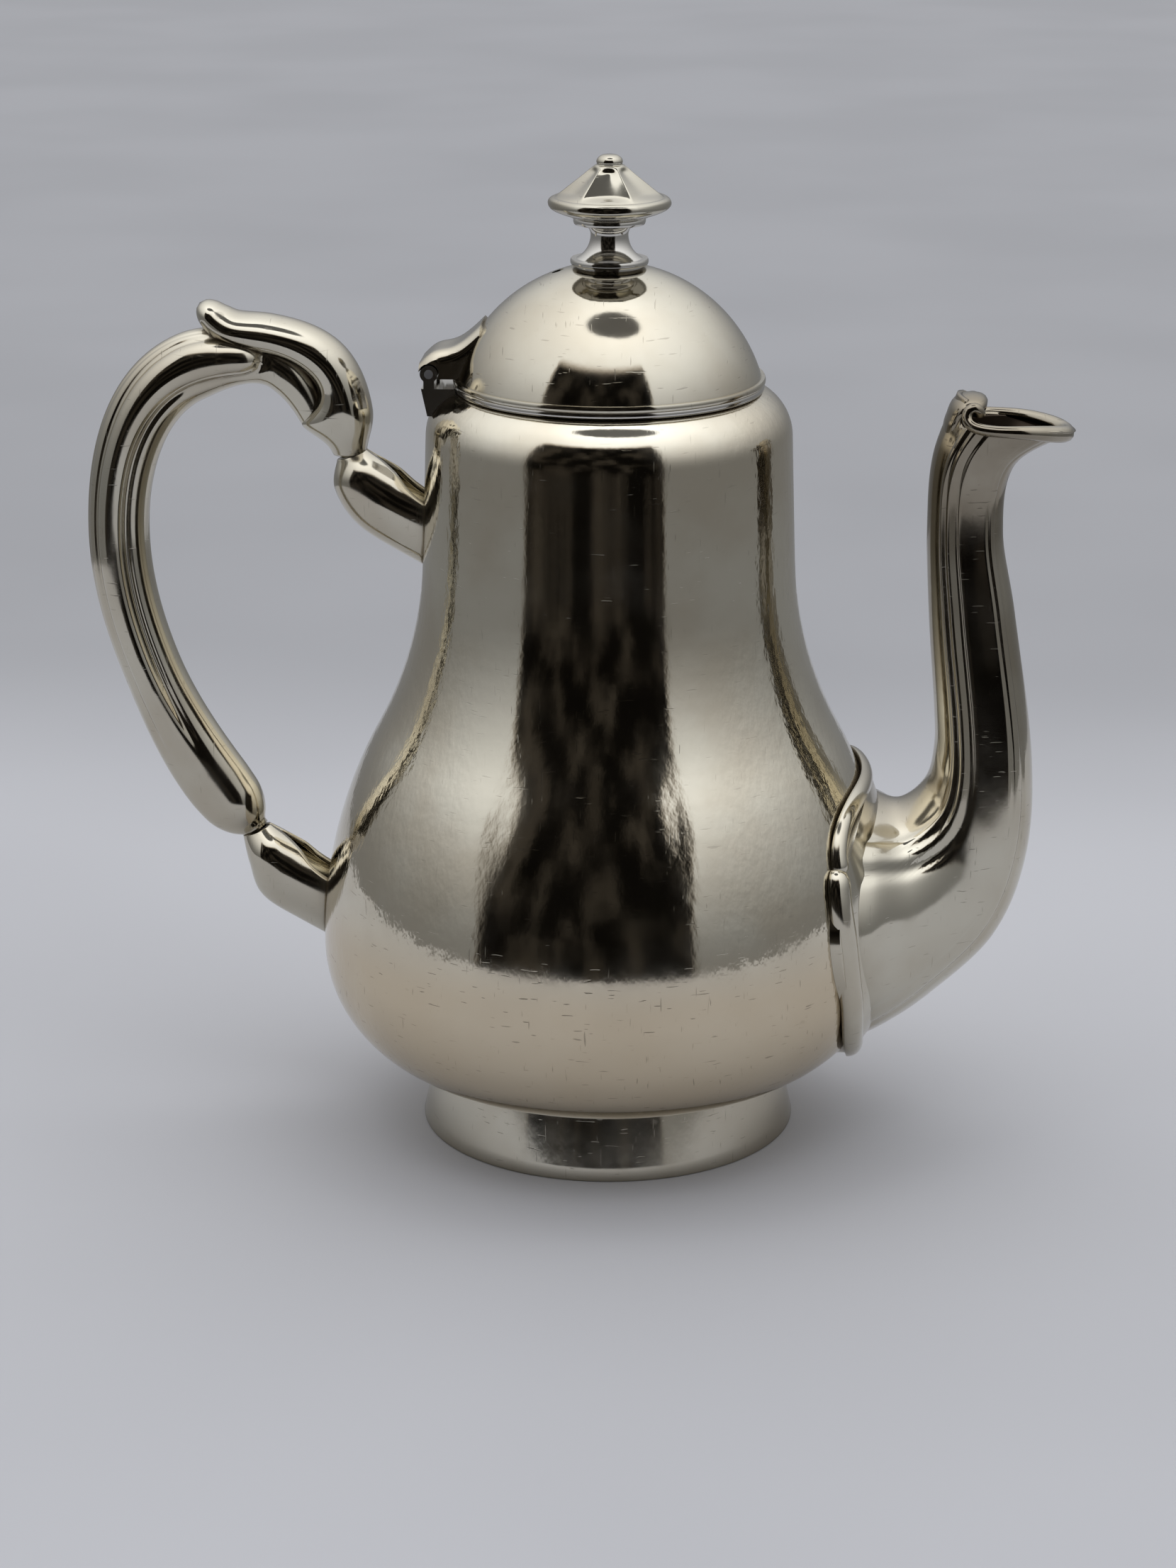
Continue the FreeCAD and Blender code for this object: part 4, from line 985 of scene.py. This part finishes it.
class POT_OT_stage(bpy.types.Operator):
    """Sets the floor, the light tent and the camera"""
    bl_idname = "coffee_pot.stage"
    bl_label = "Stage"

    def execute(self, context):
        look = context.scene.pot_stage
        self.floor(look)
        self.tent(context.scene, look)
        self.camera(context.scene)
        context.scene.view_settings.view_transform = "Standard"
        return {"FINISHED"}

    def floor(self, look):
        paint = bpy.data.materials.new("pale_floor")
        paint.use_nodes = True
        tree = paint.node_tree
        shader = tree.nodes["Principled BSDF"]
        shader.inputs["Roughness"].default_value = 0.85
        place = add(tree, "ShaderNodeTexCoord").outputs["Object"]
        # Painted shade: the floor turns darker towards the back, away from the camera, with a faint random
        # grain on top
        far = ramp(tree, axis(tree, place, "Y"), 0.16, 0.36, 0.0, 0.30)
        grain = ramp(tree, noise(tree, place, 5, detail=2), 0.3, 0.7, 0.0, 0.05)
        shade = mixed(tree, maths(tree, "ADD", far, grain), (*look.floor, 1), (0, 0, 0, 1))
        feed(tree, shader.inputs["Base Color"], shade)
        deselect()
        bpy.ops.mesh.primitive_circle_add(vertices=96, radius=look.reach, fill_type="NGON")
        bpy.context.object.name = "floor"
        bpy.ops.mesh.primitive_plane_add(size=8, location=(0, 0, -0.2 * MM))
        bpy.context.object.name = "floor_wide"
        bpy.ops.object.transform_apply(location=True)
        for name in ("floor", "floor_wide"):
            slab = bpy.data.objects[name]
            slab.data.materials.append(paint)
        slab.visible_glossy = False
        slab.visible_diffuse = False

    def tent(self, scene, look):
        world = bpy.data.worlds.new("light_tent")
        scene.world = world
        world.use_nodes = True
        tree = world.node_tree
        tree.nodes.clear()
        way = add(tree, "ShaderNodeTexCoord").outputs["Generated"]
        across = axis(tree, way, "X")
        turn = maths(tree, "ARCTAN2", across, maths(tree, "MULTIPLY", axis(tree, way, "Y"), -1.0))
        lift = maths(tree, "ARCSINE", axis(tree, way, "Z"))
        left = ramp(tree, turn, -51 * DEGREE, -47 * DEGREE)
        right = ramp(tree, turn, 36 * DEGREE, 39 * DEGREE, 1.0, 0.0)
        top = ramp(tree, lift, 44 * DEGREE, 52 * DEGREE, 1.0, 0.0)
        opening = maths(tree, "MULTIPLY", maths(tree, "MULTIPLY", left, right), top)
        aim = Vector((0.05, -math.cos(85 * DEGREE), math.sin(85 * DEGREE))).normalized()
        lean = add(tree, "ShaderNodeVectorMath", operation="DOT_PRODUCT")
        feed(tree, lean.inputs[0], way)
        lean.inputs[1].default_value = aim
        off = maths(tree, "ARCCOSINE", lean.outputs["Value"])
        aside = maths(tree, "SUBTRACT", across, aim.x)
        squeeze = maths(tree, "MULTIPLY", maths(tree, "MULTIPLY", aside, aside), 0.45)
        off_squared = maths(tree, "MULTIPLY", off, off)
        round_off = maths(tree, "MAXIMUM", maths(tree, "SUBTRACT", off_squared, squeeze), 0.0)
        round_off = maths(tree, "SQRT", round_off)
        core = ramp(tree, round_off, 10.5 * DEGREE, 12.5 * DEGREE, 1.0, 0.0)
        glow = maths(tree, "POWER", 2.718, maths(tree, "MULTIPLY", off_squared, -1 / (38 * DEGREE) ** 2))
        walls = maths(tree, "ADD", look.wall, maths(tree, "MULTIPLY", glow, look.lamp))
        walls = maths(tree, "ADD", walls, ramp(tree, lift, -8 * DEGREE, 46 * DEGREE, 0.0, look.tent))
        patches = noise(tree, way, 5.0, (1, 1, 0.7), 5)
        room = ramp(tree, patches, 0.42, 0.70, 0.2 * look.room, 2.4 * look.room)
        light = maths(tree, "MULTIPLY", walls, maths(tree, "SUBTRACT", 1.0, opening))
        light = maths(tree, "ADD", light, maths(tree, "MULTIPLY", room, opening))
        shadow = maths(tree, "SUBTRACT", 1.0, maths(tree, "MULTIPLY", core, 0.92))
        light = maths(tree, "MULTIPLY", light, shadow)
        tint = mixed(tree, opening, (0.97, 0.98, 1.0, 1), (1.0, 0.86, 0.70, 1))
        shade = add(tree, "ShaderNodeBackground")
        feed(tree, shade.inputs["Color"], tint)
        feed(tree, shade.inputs["Strength"], light)
        pale = add(tree, "ShaderNodeBackground")
        pale.inputs["Color"].default_value = (0.36, 0.36, 0.385, 1)
        seen = add(tree, "ShaderNodeLightPath").outputs["Is Camera Ray"]
        pick = add(tree, "ShaderNodeMixShader")
        feed(tree, pick.inputs[0], seen)
        tree.links.new(shade.outputs[0], pick.inputs[1])
        tree.links.new(pale.outputs[0], pick.inputs[2])
        out = add(tree, "ShaderNodeOutputWorld")
        tree.links.new(pick.outputs[0], out.inputs["Surface"])

    def camera(self, scene):
        lens = bpy.data.cameras.new("camera")
        lens.sensor_fit = "VERTICAL"
        lens.sensor_height = SENSOR_HEIGHT
        lens.lens = SENSOR_HEIGHT * FOCAL_PIXELS / PICTURE_PIXELS
        eye = bpy.data.objects.new("camera", lens)
        eye.location = (0.0465, -0.7266, 0.3094)
        eye.rotation_euler = (math.radians(72.03), 0, math.radians(4))
        scene.collection.objects.link(eye)
        scene.camera = eye


STEPS = (
    POT_OT_finish, POT_OT_body, POT_OT_foot, POT_OT_spout, POT_OT_mouth, POT_OT_border, POT_OT_handle,
    POT_OT_sockets, POT_OT_lid, POT_OT_stage,
)


class POT_PT_sidebar(bpy.types.Panel):
    """Lists the pot's pieces and their sizes"""
    bl_idname = "POT_PT_sidebar"
    bl_label = "Coffee pot"
    bl_space_type = "VIEW_3D"
    bl_region_type = "UI"
    bl_category = "Coffee pot"

    def draw(self, context):
        for name, group in GROUPS.items():
            box = self.layout.box()
            for key in group.__annotations__:
                box.prop(getattr(context.scene, name), key)
        for step in STEPS:
            self.layout.operator(step.bl_idname)


CLASSES = (*GROUPS.values(), *STEPS, POT_PT_sidebar)


def register():
    for item in CLASSES:
        bpy.utils.register_class(item)
    for name, group in GROUPS.items():
        setattr(bpy.types.Scene, name, PointerProperty(type=group))


def unregister():
    for name in GROUPS:
        delattr(bpy.types.Scene, name)
    for item in reversed(CLASSES):
        bpy.utils.unregister_class(item)


def main():
    register()
    bpy.ops.coffee_pot.finish()
    bpy.ops.coffee_pot.body()
    bpy.ops.coffee_pot.foot()
    bpy.ops.coffee_pot.spout()
    bpy.ops.coffee_pot.mouth()
    bpy.ops.coffee_pot.border()
    bpy.ops.coffee_pot.handle()
    bpy.ops.coffee_pot.sockets()
    bpy.ops.coffee_pot.lid()
    bpy.ops.coffee_pot.stage()


if __name__ == "__main__":
    main()
